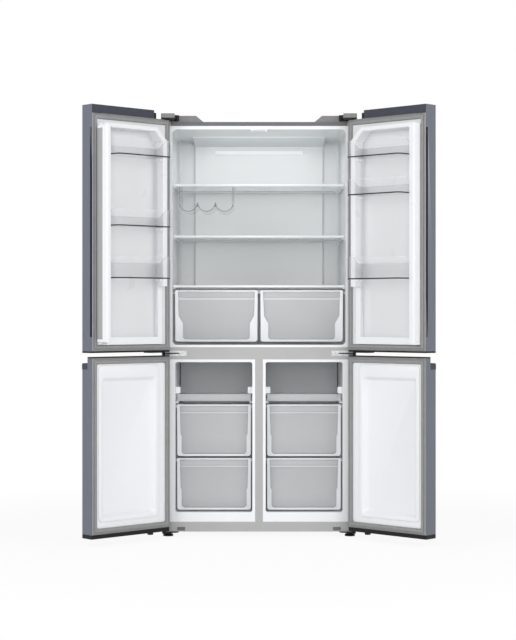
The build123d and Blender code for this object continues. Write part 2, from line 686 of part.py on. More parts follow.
def compressor():
    z0 = BASE_Z + DECK
    plate_z = z0 + COMPRESSOR_FOOT_HEIGHT
    length, width, thickness = COMPRESSOR_PLATE
    can_z = plate_z + thickness
    can = rod(COMPRESSOR_X, MACHINE_Y, can_z, can_z + COMPRESSOR_HEIGHT, COMPRESSOR_RADIUS)
    can = fillet(can.edges(), COMPRESSOR_ROUND)
    x0 = COMPRESSOR_X - length / 2
    x1 = COMPRESSOR_X + length / 2
    y0 = MACHINE_Y - width / 2
    y1 = MACHINE_Y + width / 2
    can += block(x0, x1, y0, y1, plate_z, can_z)
    low, high = TERMINAL_LEVELS
    half = TERMINAL_WIDTH / 2
    can += block(COMPRESSOR_X + TERMINAL_FROM, x1 + TERMINAL_OVER, MACHINE_Y - half, MACHINE_Y + half,
                 plate_z + low, plate_z + high)
    inset = COMPRESSOR_FOOT_INSET
    places = [(x, y) for x in (x0 + inset, x1 - inset) for y in (y0 + inset, y1 - inset)]
    return [can] + [rod(x, y, z0, plate_z, COMPRESSOR_FOOT_RADIUS) for x, y in places]


def drain_pan():
    length, width, height = DRAIN_PAN
    wall = DRAIN_PAN_WALL
    z0 = BASE_Z + DECK + COMPRESSOR_FOOT_HEIGHT + COMPRESSOR_PLATE[2] + COMPRESSOR_HEIGHT
    pan = Box(length, width, height)
    pan -= Pos(0, 0, wall) * Box(length - 2 * wall, width - 2 * wall, height)
    return Pos(COMPRESSOR_X, MACHINE_Y, z0 + height / 2) * pan


def condenser():
    x0, x1 = (share * HALF for share in CONDENSER_SHARES)
    z = BASE_Z + DECK + CONDENSER_LIFT
    points = []
    for row in range(CONDENSER_ROWS):
        ends = (x0, x1) if row % 2 == 0 else (x1, x0)
        points += [(end, MACHINE_Y, z + row * CONDENSER_PITCH) for end in ends]
    path = FilletPolyline(*points, radius=CONDENSER_PITCH / 2 - 1)
    start = Plane(origin=path @ 0, z_dir=path % 0)
    coil = sweep(start * Circle(CONDENSER_TUBE), path=path)
    top = z + (CONDENSER_ROWS - 1) * CONDENSER_PITCH + CONDENSER_PLATE_OVER
    half, reach = (size / 2 for size in CONDENSER_PLATE)
    first, last = CONDENSER_PLATES_FROM
    for x in (x0 + first, x1 - last):
        coil += block(x - half, x + half, MACHINE_Y - reach, MACHINE_Y + reach, BASE_Z + DECK, top)
    return coil


def fan(radius, hub, length):
    """Fan rotor about the Z axis, centred on the origin."""
    rotor = Cylinder(hub, length)
    middle = (hub - BLADE_ROOT + radius) / 2
    for index in range(FAN_BLADES):
        blade = Pos(middle, 0, 0) * Rot(BLADE_PITCH, 0, 0) * Box(radius - hub + BLADE_ROOT, hub * 1.5, BLADE)
        rotor += Rot(0, 0, index * 360 / FAN_BLADES) * blade
    return rotor - Cylinder(SHAFT_RADIUS + SHAFT_CLEARANCE, length + PAST)


def condenser_fan():
    return Pos(FAN_X, MACHINE_Y, FAN_Z) * Rot(0, 90, 0) * fan(FAN_RADIUS, FAN_HUB, FAN_LENGTH)


def evaporator_fan():
    rotor = fan(COOL_FAN_RADIUS, COOL_FAN_HUB, COOL_FAN_LENGTH)
    return Pos(COOL_FAN_X, COOL_FAN_Y, COOL_FAN_Z) * Rot(90, 0, 0) * rotor


def fan_motors():
    x0 = FAN_X + MOTOR_FROM
    x1 = x0 + MOTOR_LENGTH
    motor = rod_x(x0, x1, MACHINE_Y, FAN_Z, MOTOR_RADIUS)
    motor += rod_x(FAN_X - FAN_LENGTH / 2 - SHAFT_PAST_HUB, x0 + PAST, MACHINE_Y, FAN_Z, SHAFT_RADIUS)
    length, width = MOTOR_POST
    x = (x0 + x1 - length) / 2
    motor += block(x, x + length, MACHINE_Y - width / 2, MACHINE_Y + width / 2, BASE_Z + DECK, FAN_Z)
    y0 = SPACE_BACK - COOL_MOTOR_LENGTH
    cool = rod_y(COOL_FAN_X, y0, SPACE_BACK, COOL_FAN_Z, COOL_MOTOR_RADIUS)
    tip = COOL_FAN_Y - COOL_FAN_LENGTH / 2 - SHAFT_PAST_HUB
    cool += rod_y(COOL_FAN_X, tip, y0 + PAST, COOL_FAN_Z, SHAFT_RADIUS)
    return [motor, cool]


def evaporator():
    y0 = FREEZER_DUCT_Y + EVAPORATOR_INSET
    y1 = SPACE_BACK - EVAPORATOR_BACK_GAP
    z0 = HUMP_TOP
    z1 = COOL_FAN_Z - COOL_FAN_RADIUS - EVAPORATOR_BELOW_FAN
    t = EVAPORATOR_FIN
    coil = block(EVAPORATOR_X0, EVAPORATOR_X0 + t, y0, y1, z0, z1)
    step = (EVAPORATOR_X1 - EVAPORATOR_X0 - t) / EVAPORATOR_FINS
    for index in range(1, EVAPORATOR_FINS + 1):
        x = EVAPORATOR_X0 + index * step
        bottom = z0 if index == EVAPORATOR_FINS else z0 + EVAPORATOR_FIN_LIFT
        coil += block(x, x + t, y0, y1, bottom, z1)
    pitch = (z1 - z0) / EVAPORATOR_ROWS
    x0 = EVAPORATOR_X0 - EVAPORATOR_BEND
    x1 = EVAPORATOR_X1 + EVAPORATOR_BEND
    for row in range(EVAPORATOR_ROWS):
        coil += rod_x(x0, x1, (y0 + y1) / 2, z0 + (row + 0.5) * pitch, EVAPORATOR_TUBE)
    return coil


def duct_covers():
    """Back panel of the refrigerator with its ceiling fairing, and a panel in each freezer space."""
    x1 = DUCT_WIDTH / 2
    z1 = FRIDGE_CEILING - LINER_CORNER
    panel = block(-x1, x1, DUCT_Y, SPACE_BACK, FRIDGE_FLOOR + DUCT_LIFT, z1)
    panel = fillet(panel.edges().filter_by(Axis.Z).group_by(Axis.Y)[0], DUCT_ROUND)
    y0 = FRONT + DUCT_FAIRING_SHARE * (SPACE_BACK - FRONT)
    y1 = DUCT_Y + FAIRING_EDGE
    wedge = outline([(y0, FRIDGE_CEILING), (SPACE_BACK - LINER_CORNER, FRIDGE_CEILING), (y1, z1),
                     (y1, z1 - FAIRING_BACK_EDGE), (y0, FRIDGE_CEILING - FAIRING_EDGE)])
    panel += prism_x(wedge, -x1, x1)
    for level in SHELF_Z:
        z = level + OUTLET_LIFT
        outlet = block(-x1 - PAST, -x1 + OUTLET_DEPTH, DUCT_Y + OUTLET_LIP, SPACE_BACK - OUTLET_LIP,
                       z, z + OUTLET_HEIGHT)
        for piece in both(outlet):
            panel -= piece
    left = -FREEZER_OUT_X + FREEZER_DUCT_CLEAR
    right = -FREEZER_IN_X - FREEZER_DUCT_CLEAR
    y0 = FREEZER_DUCT_Y
    y1 = y0 + FREEZER_DUCT
    cold = block(left, right, y0, y1, HUMP_TOP, FREEZER_CEILING - FREEZER_DUCT_CLEAR)
    cold = fillet(cold.edges().filter_by(Axis.Y), FREEZER_CORNER)
    half = FREEZER_OUTLET_WIDTH / 2
    for lift in FREEZER_OUTLET_LIFTS:
        z = HUMP_TOP + lift
        for index in range(FREEZER_OUTLETS):
            x = left + (index + 0.5) * (right - left) / FREEZER_OUTLETS
            cold -= block(x - half, x + half, y0 - PAST, y1 + PAST, z, z + FREEZER_OUTLET_HEIGHT)
    return [panel] + both(cold)


def lamp():
    z0 = FRIDGE_CEILING - LAMP_DROP - LAMP_HEIGHT / 2
    lens = block(-LAMP_WIDTH / 2, LAMP_WIDTH / 2, DUCT_Y - LAMP_THICKNESS, DUCT_Y, z0, z0 + LAMP_HEIGHT)
    return fillet(lens.edges().group_by(Axis.Y)[0], LAMP_ROUND)


def mullion_guide():
    z0 = FRIDGE_CEILING - GUIDE_DROP
    half = GUIDE_WIDTH / 2
    y0 = FRONT + GUIDE_FROM
    y1 = FRONT + GUIDE_TO
    inner = half - GUIDE_WALL
    guide = block(-half, half, y0, y1, z0, FRIDGE_CEILING)
    guide -= block(-inner, inner, y0 - PAST, y1 - GUIDE_WALL, z0 - PAST, FRIDGE_CEILING - GUIDE_FLOOR)
    return fillet(guide.edges().filter_by(Axis.Z).group_by(Axis.X)[0], GUIDE_ROUND)


def shelf_places():
    """Top of the glass and setback of the front edge, for both shelves and the crisper cover."""
    return [(level, SHELF_SETBACK) for level in SHELF_Z] + [(CRISPER_COVER, CRISPER_SETBACK)]


def shelf(level, setback):
    """Glass plate and its two trims."""
    x = IN_X - SHELF_SIDE_CLEAR
    y0 = FRONT + setback
    y1 = DUCT_Y - SHELF_BACK_GAP
    low = level - SHELF_GLASS
    groove = TRIM_DEPTH - TRIM_GROOVE
    glass = block(-x, x, y0 + groove, y1 - groove, low, level)
    front = block(-x, x, y0, y0 + TRIM_DEPTH, low - SHELF_GLASS, level + TRIM_OVER)
    front = fillet(front.edges().filter_by(Axis.X).group_by(Axis.Y)[0], TRIM_ROUND) - glass
    end = x - REAR_TRIM_SHORT
    rear = block(-end, end, y1 - TRIM_DEPTH, y1, low - SHELF_GLASS, level + REAR_TRIM_OVER) - glass
    return glass, front, rear


def crisper_rail():
    """Middle rail under the crisper cover, on which both crispers hang."""
    y0 = FRONT + CRISPER_SETBACK + CRISPER_RAIL_FROM
    y1 = DUCT_Y - SHELF_BACK_GAP - TRIM_DEPTH
    ledge = CRISPER_TOP - FLANGE_THICKNESS - RUNNER_CLEARANCE
    reach = -CRISPER_X1 + DRAWER_FLANGE - RUNNER_SIDE_CLEAR
    half = CRISPER_RAIL_WEB / 2
    rail = block(-half, half, y0, y1, ledge - RUNNER, CRISPER_COVER - SHELF_GLASS)
    return rail + block(-reach, reach, y0, y1, ledge - RUNNER, ledge)


def bottle_rack():
    level = SHELF_Z[0] - SHELF_GLASS
    x0 = -IN_X + SHELF_RIB + RACK_FROM_RIB
    x1 = x0 + BOTTLES * BOTTLE_PITCH
    y0 = FRONT + SHELF_SETBACK + TRIM_DEPTH + RACK_BEHIND_TRIM
    y1 = y0 + RACK_DEPTH
    low = level - RACK_DROP
    axis_z = low + BOTTLE_RADIUS + RACK_WALL
    solid = rectangle(x0, x1, low, level)
    hollow = rectangle(x0 + RACK_WALL, x1 - RACK_WALL, axis_z, level + PAST)
    below = rectangle(x0 - PAST, x1 + PAST, low - PAST, low + BOTTLE_RADIUS * RACK_SCALLOP)
    for index in range(BOTTLES):
        centre = Pos(x0 + (index + 0.5) * BOTTLE_PITCH, axis_z)
        hollow += centre * Circle(BOTTLE_RADIUS)
        below -= centre * Circle(BOTTLE_RADIUS + RACK_WALL)
    rack = prism_y(solid - hollow - below, y0, y1)
    rack += block(x0 - RACK_FLANGE, x0 + RACK_WALL, y0, y1, level - RACK_WALL, level)
    return rack + block(x1 - RACK_WALL, x1 + RACK_FLANGE, y0, y1, level - RACK_WALL, level)


def drawer(x0, x1, y0, y1, z0, step):
    """Clear tub with rim flanges on both sides, and the pale frame round its front."""
    height = CRISPER_HEIGHT if step else DRAWER_HEIGHT
    z1 = z0 + height
    tub_x0 = x0 + DRAWER_FLANGE
    tub_x1 = x1 - DRAWER_FLANGE
    z_step = z0 + height / 2

    def section(inset, top):
        a, b, low = tub_x0 + inset, tub_x1 - inset, z0 + inset
        if step == 0:
            points = [(a, low), (b, low), (b, top), (a, top)]
        else:
            points = [(a + step, low), (b - step, low), (b - step, z_step), (b, z_step + step),
                      (b, top), (a, top), (a, z_step + step), (a + step, z_step)]
        face = outline(points)
        return fillet(face.vertices().group_by(Axis.Y)[0], TUB_ROUND - inset)

    front = y0 + FRAME_FACE
    back = y0 + FRONT_FRAME
    tub = prism_y(section(0, z1), front, y1)
    tub += block(x0, x1, back, y1, z1 - FLANGE_THICKNESS, z1)
    tub -= prism_y(section(DRAWER_WALL, z1 + PAST), front + DRAWER_WALL, y1 - DRAWER_WALL)
    face = rectangle(x0, x1, z0, z1)
    face = fillet(face.vertices().group_by(Axis.Y)[0], FRAME_ROUND)
    frame = prism_y(face, y0, back)
    frame = chamfer(frame.edges().group_by(Axis.Y)[0], FRAME_CHAMFER)
    frame -= prism_y(section(0, z1 + PAST), front, back + PAST)
    window = section(FRAME_SIDE - DRAWER_FLANGE, z1 - FRAME_TOP)
    return [tub, frame - prism_y(window, y0 - PAST, front + PAST)]


def freezer_tray():
    y0 = FRONT + DRAWER_SETBACK
    y1 = FREEZER_DUCT_Y - DRAWER_BACK_GAP
    z1 = TRAY_Z + TRAY_LIP
    t = DRAWER_WALL
    tray = block(DRAWER_X0, DRAWER_X1, y0, y1, TRAY_Z, z1)
    tray -= block(DRAWER_X0 + t, DRAWER_X1 - t, y0 + TRAY_FLOOR, y1 - t, TRAY_Z + TRAY_FLOOR, z1 + PAST)
    tray -= block(DRAWER_X0 - PAST, DRAWER_X1 + PAST, y0 + TRAY_LIP_RETURN, y1 + PAST,
                  z1 - TRAY_SIDE_DROP, z1 + PAST)
    return fillet(tray.edges().filter_by(Axis.Z).group_by(Axis.Y)[0], TRAY_ROUND)


def runners():
    """Fixed rails for crispers, drawers and trays, with the tray stops."""
    rails = []
    ledge = CRISPER_TOP - FLANGE_THICKNESS - RUNNER_CLEARANCE
    x = CRISPER_X0 + DRAWER_FLANGE - RUNNER_SIDE_CLEAR
    y0 = FRONT + CRISPER_SETBACK + CRISPER_RAIL_FROM
    rails.append(block(-IN_X, x, y0, DUCT_Y - CRISPER_RUNNER_END, ledge - RUNNER, ledge))
    left = DRAWER_X0 + DRAWER_FLANGE - RUNNER_SIDE_CLEAR
    right = DRAWER_X1 - DRAWER_FLANGE + RUNNER_SIDE_CLEAR
    y0 = FRONT + DRAWER_SETBACK + RUNNER_FROM
    ledges = [
        (LOW_DRAWER_Z + DRAWER_HEIGHT - FLANGE_THICKNESS, LOW_BACK - LOW_RUNNER_END),
        (UP_DRAWER_Z + DRAWER_HEIGHT - FLANGE_THICKNESS, FREEZER_DUCT_Y - RUNNER_END),
        (TRAY_Z, FREEZER_DUCT_Y - RUNNER_END),
    ]
    for rim, y1 in ledges:
        top = rim - RUNNER_CLEARANCE
        rails.append(block(-FREEZER_OUT_X, left, y0, y1, top - RUNNER, top))
        rails.append(block(right, -FREEZER_IN_X, y0, y1, top - RUNNER, top))
    z0 = TRAY_Z + TRAY_LIP + STOP_LIFT
    z1 = z0 + STOP_HEIGHT
    y1 = FRONT + DRAWER_SETBACK + TRAY_LIP_RETURN - STOP_GAP
    y0 = y1 - STOP_DEPTH
    stop = block(-FREEZER_OUT_X, DRAWER_X0 + STOP_WIDTH, y0, y1, z0, z1)
    rails.append(fillet(stop.edges().filter_by(Axis.Y).group_by(Axis.X)[-1], STOP_ROUND))
    stop = block(DRAWER_X1 - STOP_WIDTH, -FREEZER_IN_X, y0, y1, z0, z1)
    rails.append(fillet(stop.edges().filter_by(Axis.Y).group_by(Axis.X)[0], STOP_ROUND))
    return [piece for rail in rails for piece in both(rail)]


def top_hinge_screw_places():
    x, y = TOP_SCREW_FIRST
    across, back = TOP_SCREW_STEP
    places = [(x, y), (x + across, y), (x + across / 2, y + back)]
    return [(PIVOT_X + x, FRONT + y) for x, y in places]


def middle_hinge_screw_places():
    return [-HALF + distance for distance in MIDDLE_SCREWS_FROM]


def bottom_hinge_screw_places():
    return [(-HALF + BOTTOM_SCREW_FROM_SIDE, FRONT + distance) for distance in BOTTOM_SCREWS_BACK]


def top_hinge():
    z0 = UPPER_BODY_TOP + TOP_HINGE_LIFT
    z1 = z0 + HINGE_PLATE
    x0 = PIVOT_X - HINGE_BOSS
    x1 = x0 + TOP_HINGE_WIDTH
    y1 = FRONT + TOP_HINGE_REAR
    plate = block(x0, x1, PIVOT_Y, y1, z0, z1) + rod(PIVOT_X, PIVOT_Y, z0, z1, HINGE_BOSS)
    plate += block(x0, x1, FRONT + TOP_HINGE_FOOT, y1, CABINET_TOP, z0)
    plate += rod(PIVOT_X, PIVOT_Y, UPPER_BODY_TOP - PIN_REACH, z1 - HINGE_PLATE / 2, PIN_RADIUS)
    for x, y in top_hinge_screw_places():
        plate -= rod(x, y, CABINET_TOP - PAST, z1 + PAST, SCREW_RADIUS + SCREW_CLEARANCE)
    return plate


def hinge_cover():
    low = UPPER_BODY_TOP + TOP_HINGE_LIFT - COVER_CLEARANCE
    high = CABINET_TOP + COVER_HEIGHT
    x0 = -HALF + COVER_CLEARANCE
    x1 = x0 + COVER_NOSE_WIDTH

    def body(inset, drop):
        sweep_limit = rod(PIVOT_X, PIVOT_Y, low - drop, high - inset, COVER_RADIUS - inset)
        y0 = DOOR_OUT_Y + COVER_SETBACK + inset
        y1 = FRONT + COVER_LAP - inset
        nose = block(x0 + inset, x1 - inset, y0, y1, low - drop, high - inset)
        base = CABINET_TOP - drop
        top = high - COVER_WALL - inset
        profile = outline([(x0 + inset, base), (x0 + COVER_FOOT - 2 * inset, base),
                           (x0 + COVER_CROWN - inset, top), (x0 + inset, top)])
        shoulder = prism_y(profile, FRONT + COVER_FRONT + inset / 2, FRONT + COVER_REAR - inset)
        return (nose & sweep_limit) + shoulder

    return body(0, 0) - body(COVER_WALL, PAST)


def middle_hinge():
    x0 = -HALF + MIDDLE_HINGE_FROM
    half = MIDDLE_HINGE_HEIGHT / 2
    y0 = FRONT - HINGE_PLATE
    plate = block(x0, x0 + MIDDLE_HINGE_WIDTH, y0, FRONT, SPLIT_Z - half, SPLIT_Z + half)
    low = SPLIT_Z - MIDDLE_ARM / 2
    high = SPLIT_Z + MIDDLE_ARM / 2
    across, forward = MIDDLE_ARM_NOSE
    arm = outline([(PIVOT_X - MIDDLE_BOSS, PIVOT_Y), (PIVOT_X + across, PIVOT_Y - forward),
                   (x0 + MIDDLE_ARM_WIDTH, y0), (x0, y0)])
    plate += prism_z(arm, low, high)
    plate += rod(PIVOT_X, PIVOT_Y, low, high, MIDDLE_BOSS)
    plate += rod(PIVOT_X, PIVOT_Y, LOWER_TOP - PIN_REACH, UPPER_BOTTOM + PIN_REACH, PIN_RADIUS)
    for x in middle_hinge_screw_places():
        plate -= rod_y(x, y0 - PAST, FRONT + PAST, SPLIT_Z, SMALL_SCREW_RADIUS + SCREW_CLEARANCE)
    return plate


def bottom_hinge():
    z0 = BASE_Z - BOTTOM_PLATE
    x0 = -HALF + BOTTOM_HINGE_FROM
    x1 = x0 + BOTTOM_HINGE_WIDTH
    plate = block(x0, x1, FRONT, FRONT + BOTTOM_HINGE_DEPTH, z0, BASE_Z)
    nose = PIVOT_Y - HINGE_BOSS / 2
    arm = outline([(x0, FRONT), (x1, FRONT), (PIVOT_X + HINGE_BOSS, nose), (PIVOT_X - HINGE_BOSS, nose)])
    plate += prism_z(arm, z0, BASE_Z)
    plate += rod(PIVOT_X, PIVOT_Y, z0, BASE_Z, HINGE_BOSS)
    plate += rod(PIVOT_X, PIVOT_Y, BASE_Z - PAST, LOWER_BOTTOM + PIN_REACH, PIN_RADIUS)
    plate -= rod(FOOT_X, FOOT_Y, z0 - PAST, BASE_Z + PAST, STUD_RADIUS + STUD_CLEARANCE)
    for x, y in bottom_hinge_screw_places():
        plate -= rod(x, y, z0 - PAST, BASE_Z + PAST, SCREW_RADIUS + SCREW_CLEARANCE)
    return plate


def hinge_screws():
    screws = []
    z0 = UPPER_BODY_TOP + TOP_HINGE_LIFT + HINGE_PLATE
    for x, y in top_hinge_screw_places():
        head = rod(x, y, z0, z0 + SCREW_HEAD, SCREW_HEAD_RADIUS)
        screws.append(rod(x, y, CABINET_TOP, z0, SCREW_RADIUS) + head)
    y0 = FRONT - HINGE_PLATE
    for x in middle_hinge_screw_places():
        head = rod_y(x, y0 - SMALL_SCREW_HEAD, y0, SPLIT_Z, SMALL_SCREW_HEAD_RADIUS)
        screws.append(rod_y(x, y0, FRONT, SPLIT_Z, SMALL_SCREW_RADIUS) + head)
    z0 = BASE_Z - BOTTOM_PLATE
    for x, y in bottom_hinge_screw_places():
        head = rod(x, y, z0 - SCREW_HEAD, z0, SCREW_HEAD_RADIUS)
        screws.append(rod(x, y, z0, BASE_Z, SCREW_RADIUS) + head)
    return [piece for screw in screws for piece in both(screw)]


def leveling_foot():
    pad = rod(FOOT_X, FOOT_Y, 0, FOOT_PAD, FOOT_RADIUS)
    pad = fillet(pad.edges().group_by(Axis.Z)[-1], FOOT_ROUND)
    pad += Pos(FOOT_X, FOOT_Y) * prism_z(RegularPolygon(FOOT_NUT_RADIUS, 6), FOOT_PAD - PAST, FOOT_NUT_TOP)
    return pad + rod(FOOT_X, FOOT_Y, FOOT_NUT_TOP - PAST, BASE_Z + STUD_REACH, STUD_RADIUS)


def door_channel(z0, z1):
    """Outer steel of a door, bent round its front and both edges."""
    face = rectangle(DOOR_X0, DOOR_X1, DOOR_OUT_Y, DOOR_IN_Y)
    face = fillet(face.vertices().group_by(Axis.Y)[0], DOOR_EDGE_ROUND)
    inside = rectangle(DOOR_X0 + DOOR_SHEET, DOOR_X1 - DOOR_SHEET, DOOR_OUT_Y + DOOR_SHEET, DOOR_IN_Y + PAST)
    return prism_z(face - inside, z0, z1)


def pin_bore(z0, z1):
    return rod(PIVOT_X, PIVOT_Y, z0, z1, PIN_RADIUS + PIN_CLEARANCE)


def door_gasket(z0, z1):
    def ring(start, width, low, high):
        def inset(distance):
            return rectangle(DOOR_X0 + distance, DOOR_X1 - distance, z0 + distance, z1 - distance)
        return prism_y(inset(start) - inset(start + width), DOOR_IN_Y + low, DOOR_IN_Y + high)

    bulb = ring(BULB_FROM, BULB_WIDTH, GASKET_BASE, GASKET_HEIGHT)
    bulb = fillet(bulb.edges().group_by(Axis.Y)[-1], 2.0)
    gasket = ring(GASKET_EDGE, GASKET_WIDTH, 0, GASKET_BASE) + bulb
    return gasket + ring(FIN_FROM, FIN_WIDTH, GASKET_BASE, GASKET_BASE + FIN_HEIGHT)


def grip_slot_levels():
    return UPPER_BOTTOM + GRIP_SLOT_LOW, UPPER_BODY_TOP - GRIP_SLOT_HIGH


def upper_skin():
    skin = door_channel(UPPER_BOTTOM + UPPER_CAP, DOOR_TOP)
    skin -= block(DOOR_X0 - PAST, DOOR_X0 + NOTCH, DOOR_OUT_Y - PAST, DOOR_IN_Y + PAST,
                  UPPER_BODY_TOP, DOOR_TOP + PAST)
    z0, z1 = grip_slot_levels()
    y0 = DOOR_IN_Y - GRIP_SLOT
    return skin - block(DOOR_X1 - DOOR_SHEET - PAST, DOOR_X1 + PAST, y0, DOOR_IN_Y + PAST, z0, z1)


def pocket_sides():
    """Left, right, bottom and top of the pocket between the rims of an upper door."""
    return (-IN_X + LINER_CLEARANCE + RIM_HINGE, DOOR_X1 - RIM_FREE,
            FRIDGE_FLOOR + LINER_CLEARANCE + RIM_BOTTOM, FRIDGE_CEILING - LINER_CLEARANCE - RIM_TOP)


def upper_pocket():
    """X-Z outline of the pocket between the rims of an upper door."""
    x0, x1, z0, z1 = pocket_sides()
    cut = POCKET_CHAMFER
    return outline([(x0, z0), (x1, z0), (x1, z1), (x0 + cut, z1), (x0, z1 - cut)])


def upper_plateau(rebate):
    x0 = -IN_X + LINER_CLEARANCE
    x1 = DOOR_X1 - rebate
    z0 = FRIDGE_FLOOR + LINER_CLEARANCE
    z1 = FRIDGE_CEILING - LINER_CLEARANCE
    return outline([(x0, z0), (x1, z0), (x1, z1), (x0 + RIM_CHAMFER, z1), (x0, z1 - RIM_CHAMFER)])


def bin_levels(shares):
    low, high = pocket_sides()[2:]
    top = high - POCKET_CHAMFER - BIN_TOP_GAP - TOP_BIN_HEIGHT
    return [low + share * (top - low) for share in shares]


def rim_faces(rebate, inset, shares):
    """Low and high rim outlines, inset for the wall when asked."""
    ring = grown(upper_plateau(rebate), -inset) - grown(upper_pocket(), inset)
    x1 = DOOR_X1 - RIM_FREE + inset
    rim_end = bin_levels(shares)[-1] - RIM_END_DROP + inset
    high = ring - rectangle(-HALF, x1, MID_BEAM_BOTTOM, rim_end)
    return ring, high


def bars(face, x0, x1, z0, z1):
    """Straight pieces of a ring-shaped X-Z outline, cut along the sides of its hole."""
    far = 2 * (CABINET_WIDTH + DOOR_TOP)
    cells = [
        rectangle(-far, x0, -far, far),
        rectangle(x1, far, -far, far),
        rectangle(x0, x1, -far, z0),
        rectangle(x0, x1, z1, far),
        rectangle(x0, x1, z0, z1),
    ]
    return [piece for cell in cells for piece in (face & cell).faces()]


def upper_liner(rebate, shares):
    t = DOOR_LINER
    y = DOOR_IN_Y
    z0 = UPPER_BOTTOM + UPPER_CAP + LINER_INSET
    z1 = UPPER_BODY_TOP - LINER_INSET
    low, high = rim_faces(rebate, 0, shares)
    rim = prism_y(high, y, y + RIM_HIGH)
    rim = fillet(rim.edges().group_by(Axis.Y)[-1], RIM_ROUND)
    liner = prism_y(low, y, y + RIM_LOW) + rim
    pocket = upper_pocket()
    flange = rectangle(DOOR_X0 + LINER_INSET, DOOR_X1 - LINER_INSET, z0, z1) - grown(pocket, t / 2)
    liner += prism_y(flange, y, y + t)
    low_in, high_in = rim_faces(rebate, t, shares)
    liner -= prism_y(low_in, y - PAST, y + RIM_LOW - t) + prism_y(high_in, y - PAST, y + RIM_HIGH - t)
    well = grown(pocket, t)
    liner += prism_y(well - pocket, y - POCKET_DEPTH, y + t)
    liner += prism_y(well, y - POCKET_DEPTH - t, y - POCKET_DEPTH)
    x0, x1 = pocket_sides()[:2]
    for level in bin_levels(shares):
        for low_x, high_x in ((x0 - t / 2, x0 + BIN_LUG), (x1 - BIN_LUG, x1 + t / 2)):
            liner += block(low_x, high_x, y + BIN_LUG_FROM, y + BIN_LUG_TO, level - BIN_LUG, level)
    return liner


def mullion_brackets():
    """Pivot lugs of the flip mullion, standing on the left door liner."""
    y = DOOR_IN_Y + DOOR_LINER
    x0 = MULLION_X - LUG_LEFT
    x1 = MULLION_X + LUG_RIGHT
    y1 = MULLION_Y + LUG_REACH
    low = MULLION_Z0 - MULLION_END_GAP
    high = MULLION_Z1 + MULLION_END_GAP
    lugs = block(x0, x1, y, y1, low - MULLION_BRACKET, low)
    lugs += block(x0, x1, y, y1, high, high + MULLION_BRACKET)
    root = MULLION_BRACKET - PAST
    lugs += rod(MULLION_X, MULLION_Y, low - root, low + MULLION_PIN_REACH, MULLION_PIN)
    return lugs + rod(MULLION_X, MULLION_Y, high - MULLION_PIN_REACH, high + root, MULLION_PIN)


def flip_mullion():
    x0 = MULLION_X - MULLION_THICKNESS / 2
    x1 = MULLION_X + MULLION_THICKNESS / 2
    y0 = MULLION_Y - MULLION_TAIL
    y1 = y0 + MULLION_WIDTH
    bar = block(x0, x1 - STRIP, y0, y1, MULLION_Z0, MULLION_Z1)
    bar = fillet(bar.edges().filter_by(Axis.Z).group_by(Axis.X)[0], MULLION_ROUND)
    bore = MULLION_PIN + PIN_CLEARANCE
    depth = MULLION_PIN_REACH + PIN_END_GAP
    bar -= rod(MULLION_X, MULLION_Y, MULLION_Z0 - PAST, MULLION_Z0 + depth, bore)
    bar -= rod(MULLION_X, MULLION_Y, MULLION_Z1 - depth, MULLION_Z1 + PAST, bore)
    strip = block(x1 - STRIP, x1, y0, y1, MULLION_Z0, MULLION_Z1)
    return [bar, strip]


def upper_core(rebate, shares):
    """Insulation of an upper door, as straight blocks, with its top and bottom caps."""
    t = DOOR_LINER
    y = DOOR_IN_Y
    well = y - POCKET_DEPTH - t
    x0 = DOOR_X0 + DOOR_SHEET
    x1 = DOOR_X1 - DOOR_SHEET
    y0 = DOOR_OUT_Y + DOOR_SHEET
    z0 = UPPER_BOTTOM + UPPER_CAP
    z1 = UPPER_BODY_TOP
    left, right, low, high = pocket_sides()
    sides = (left - t, right + t, low - t, high + t)
    post = right + t
    slab = block(x0, post, y0, well, z0, z1)
    slab -= pin_bore(z1 - PIN_REACH - PIN_END_GAP, z1 + PAST)
    slab -= pin_bore(z0 - PAST, UPPER_BOTTOM + PIN_REACH + PIN_END_GAP)
    slot0, slot1 = grip_slot_levels()
    slot_y = y - GRIP_SLOT
    foam = [
        slab,
        block(post, x1, y0, y, z0, slot0),
        block(post, x1, y0, y, slot1, z1),
        block(post, x1, y0, slot_y, slot0, slot1),
        block(post, x1 - GRIP_SLOT_DEPTH, slot_y, y, slot0, slot1),
    ]
    around = rectangle(x0, post, z0, z1) - grown(upper_pocket(), t)
    low_rim, high_rim = rim_faces(rebate, t, shares)
    step = y + RIM_LOW - t
    for ring, front, back in ((around, well, y), (low_rim, y, step), (high_rim, step, y + RIM_HIGH - t)):
        foam += [prism_y(bar, front, back) for bar in bars(ring, *sides)]
    top = block(DOOR_X0 + NOTCH, x1, y0, y, z1, DOOR_TOP)
    bottom = block(DOOR_X0, DOOR_X1, DOOR_OUT_Y, y, UPPER_BOTTOM, z0)
    bottom = fillet(bottom.edges().filter_by(Axis.Z).group_by(Axis.Y)[0], DOOR_EDGE_ROUND)
    bottom -= pin_bore(UPPER_BOTTOM - PAST, z0 + PAST)
    return foam + [top, bottom]


def door_bins(shares, heights):
    left, right = pocket_sides()[:2]
    x0 = left + BIN_CLEARANCE
    x1 = right - BIN_CLEARANCE
    y0 = DOOR_IN_Y - POCKET_DEPTH + BIN_CLEARANCE
    y1 = DOOR_IN_Y + BIN_REACH
    bins = []
    for level, height in zip(bin_levels(shares), heights):
        top = level + height
        plan = rectangle(x0, x1, y0, y1)
        plan = fillet(plan.vertices().group_by(Axis.Y)[-1], BIN_ROUND)
        tray = prism_z(plan, level, top)
        tray -= prism_z(grown(plan, -BIN_WALL), level + BIN_WALL, top + PAST)
        side = outline([(y0 - PAST, top + PAST), (y0 - PAST, top - BIN_SIDE_DROP),
                        (y0 + BIN_SLOPE_FROM, top - BIN_SIDE_DROP), (y0 + BIN_SLOPE_TO, top + PAST)])
        tray -= prism_x(side, x0 - PAST, x1 + PAST)
        bins.append(tray)
    return bins


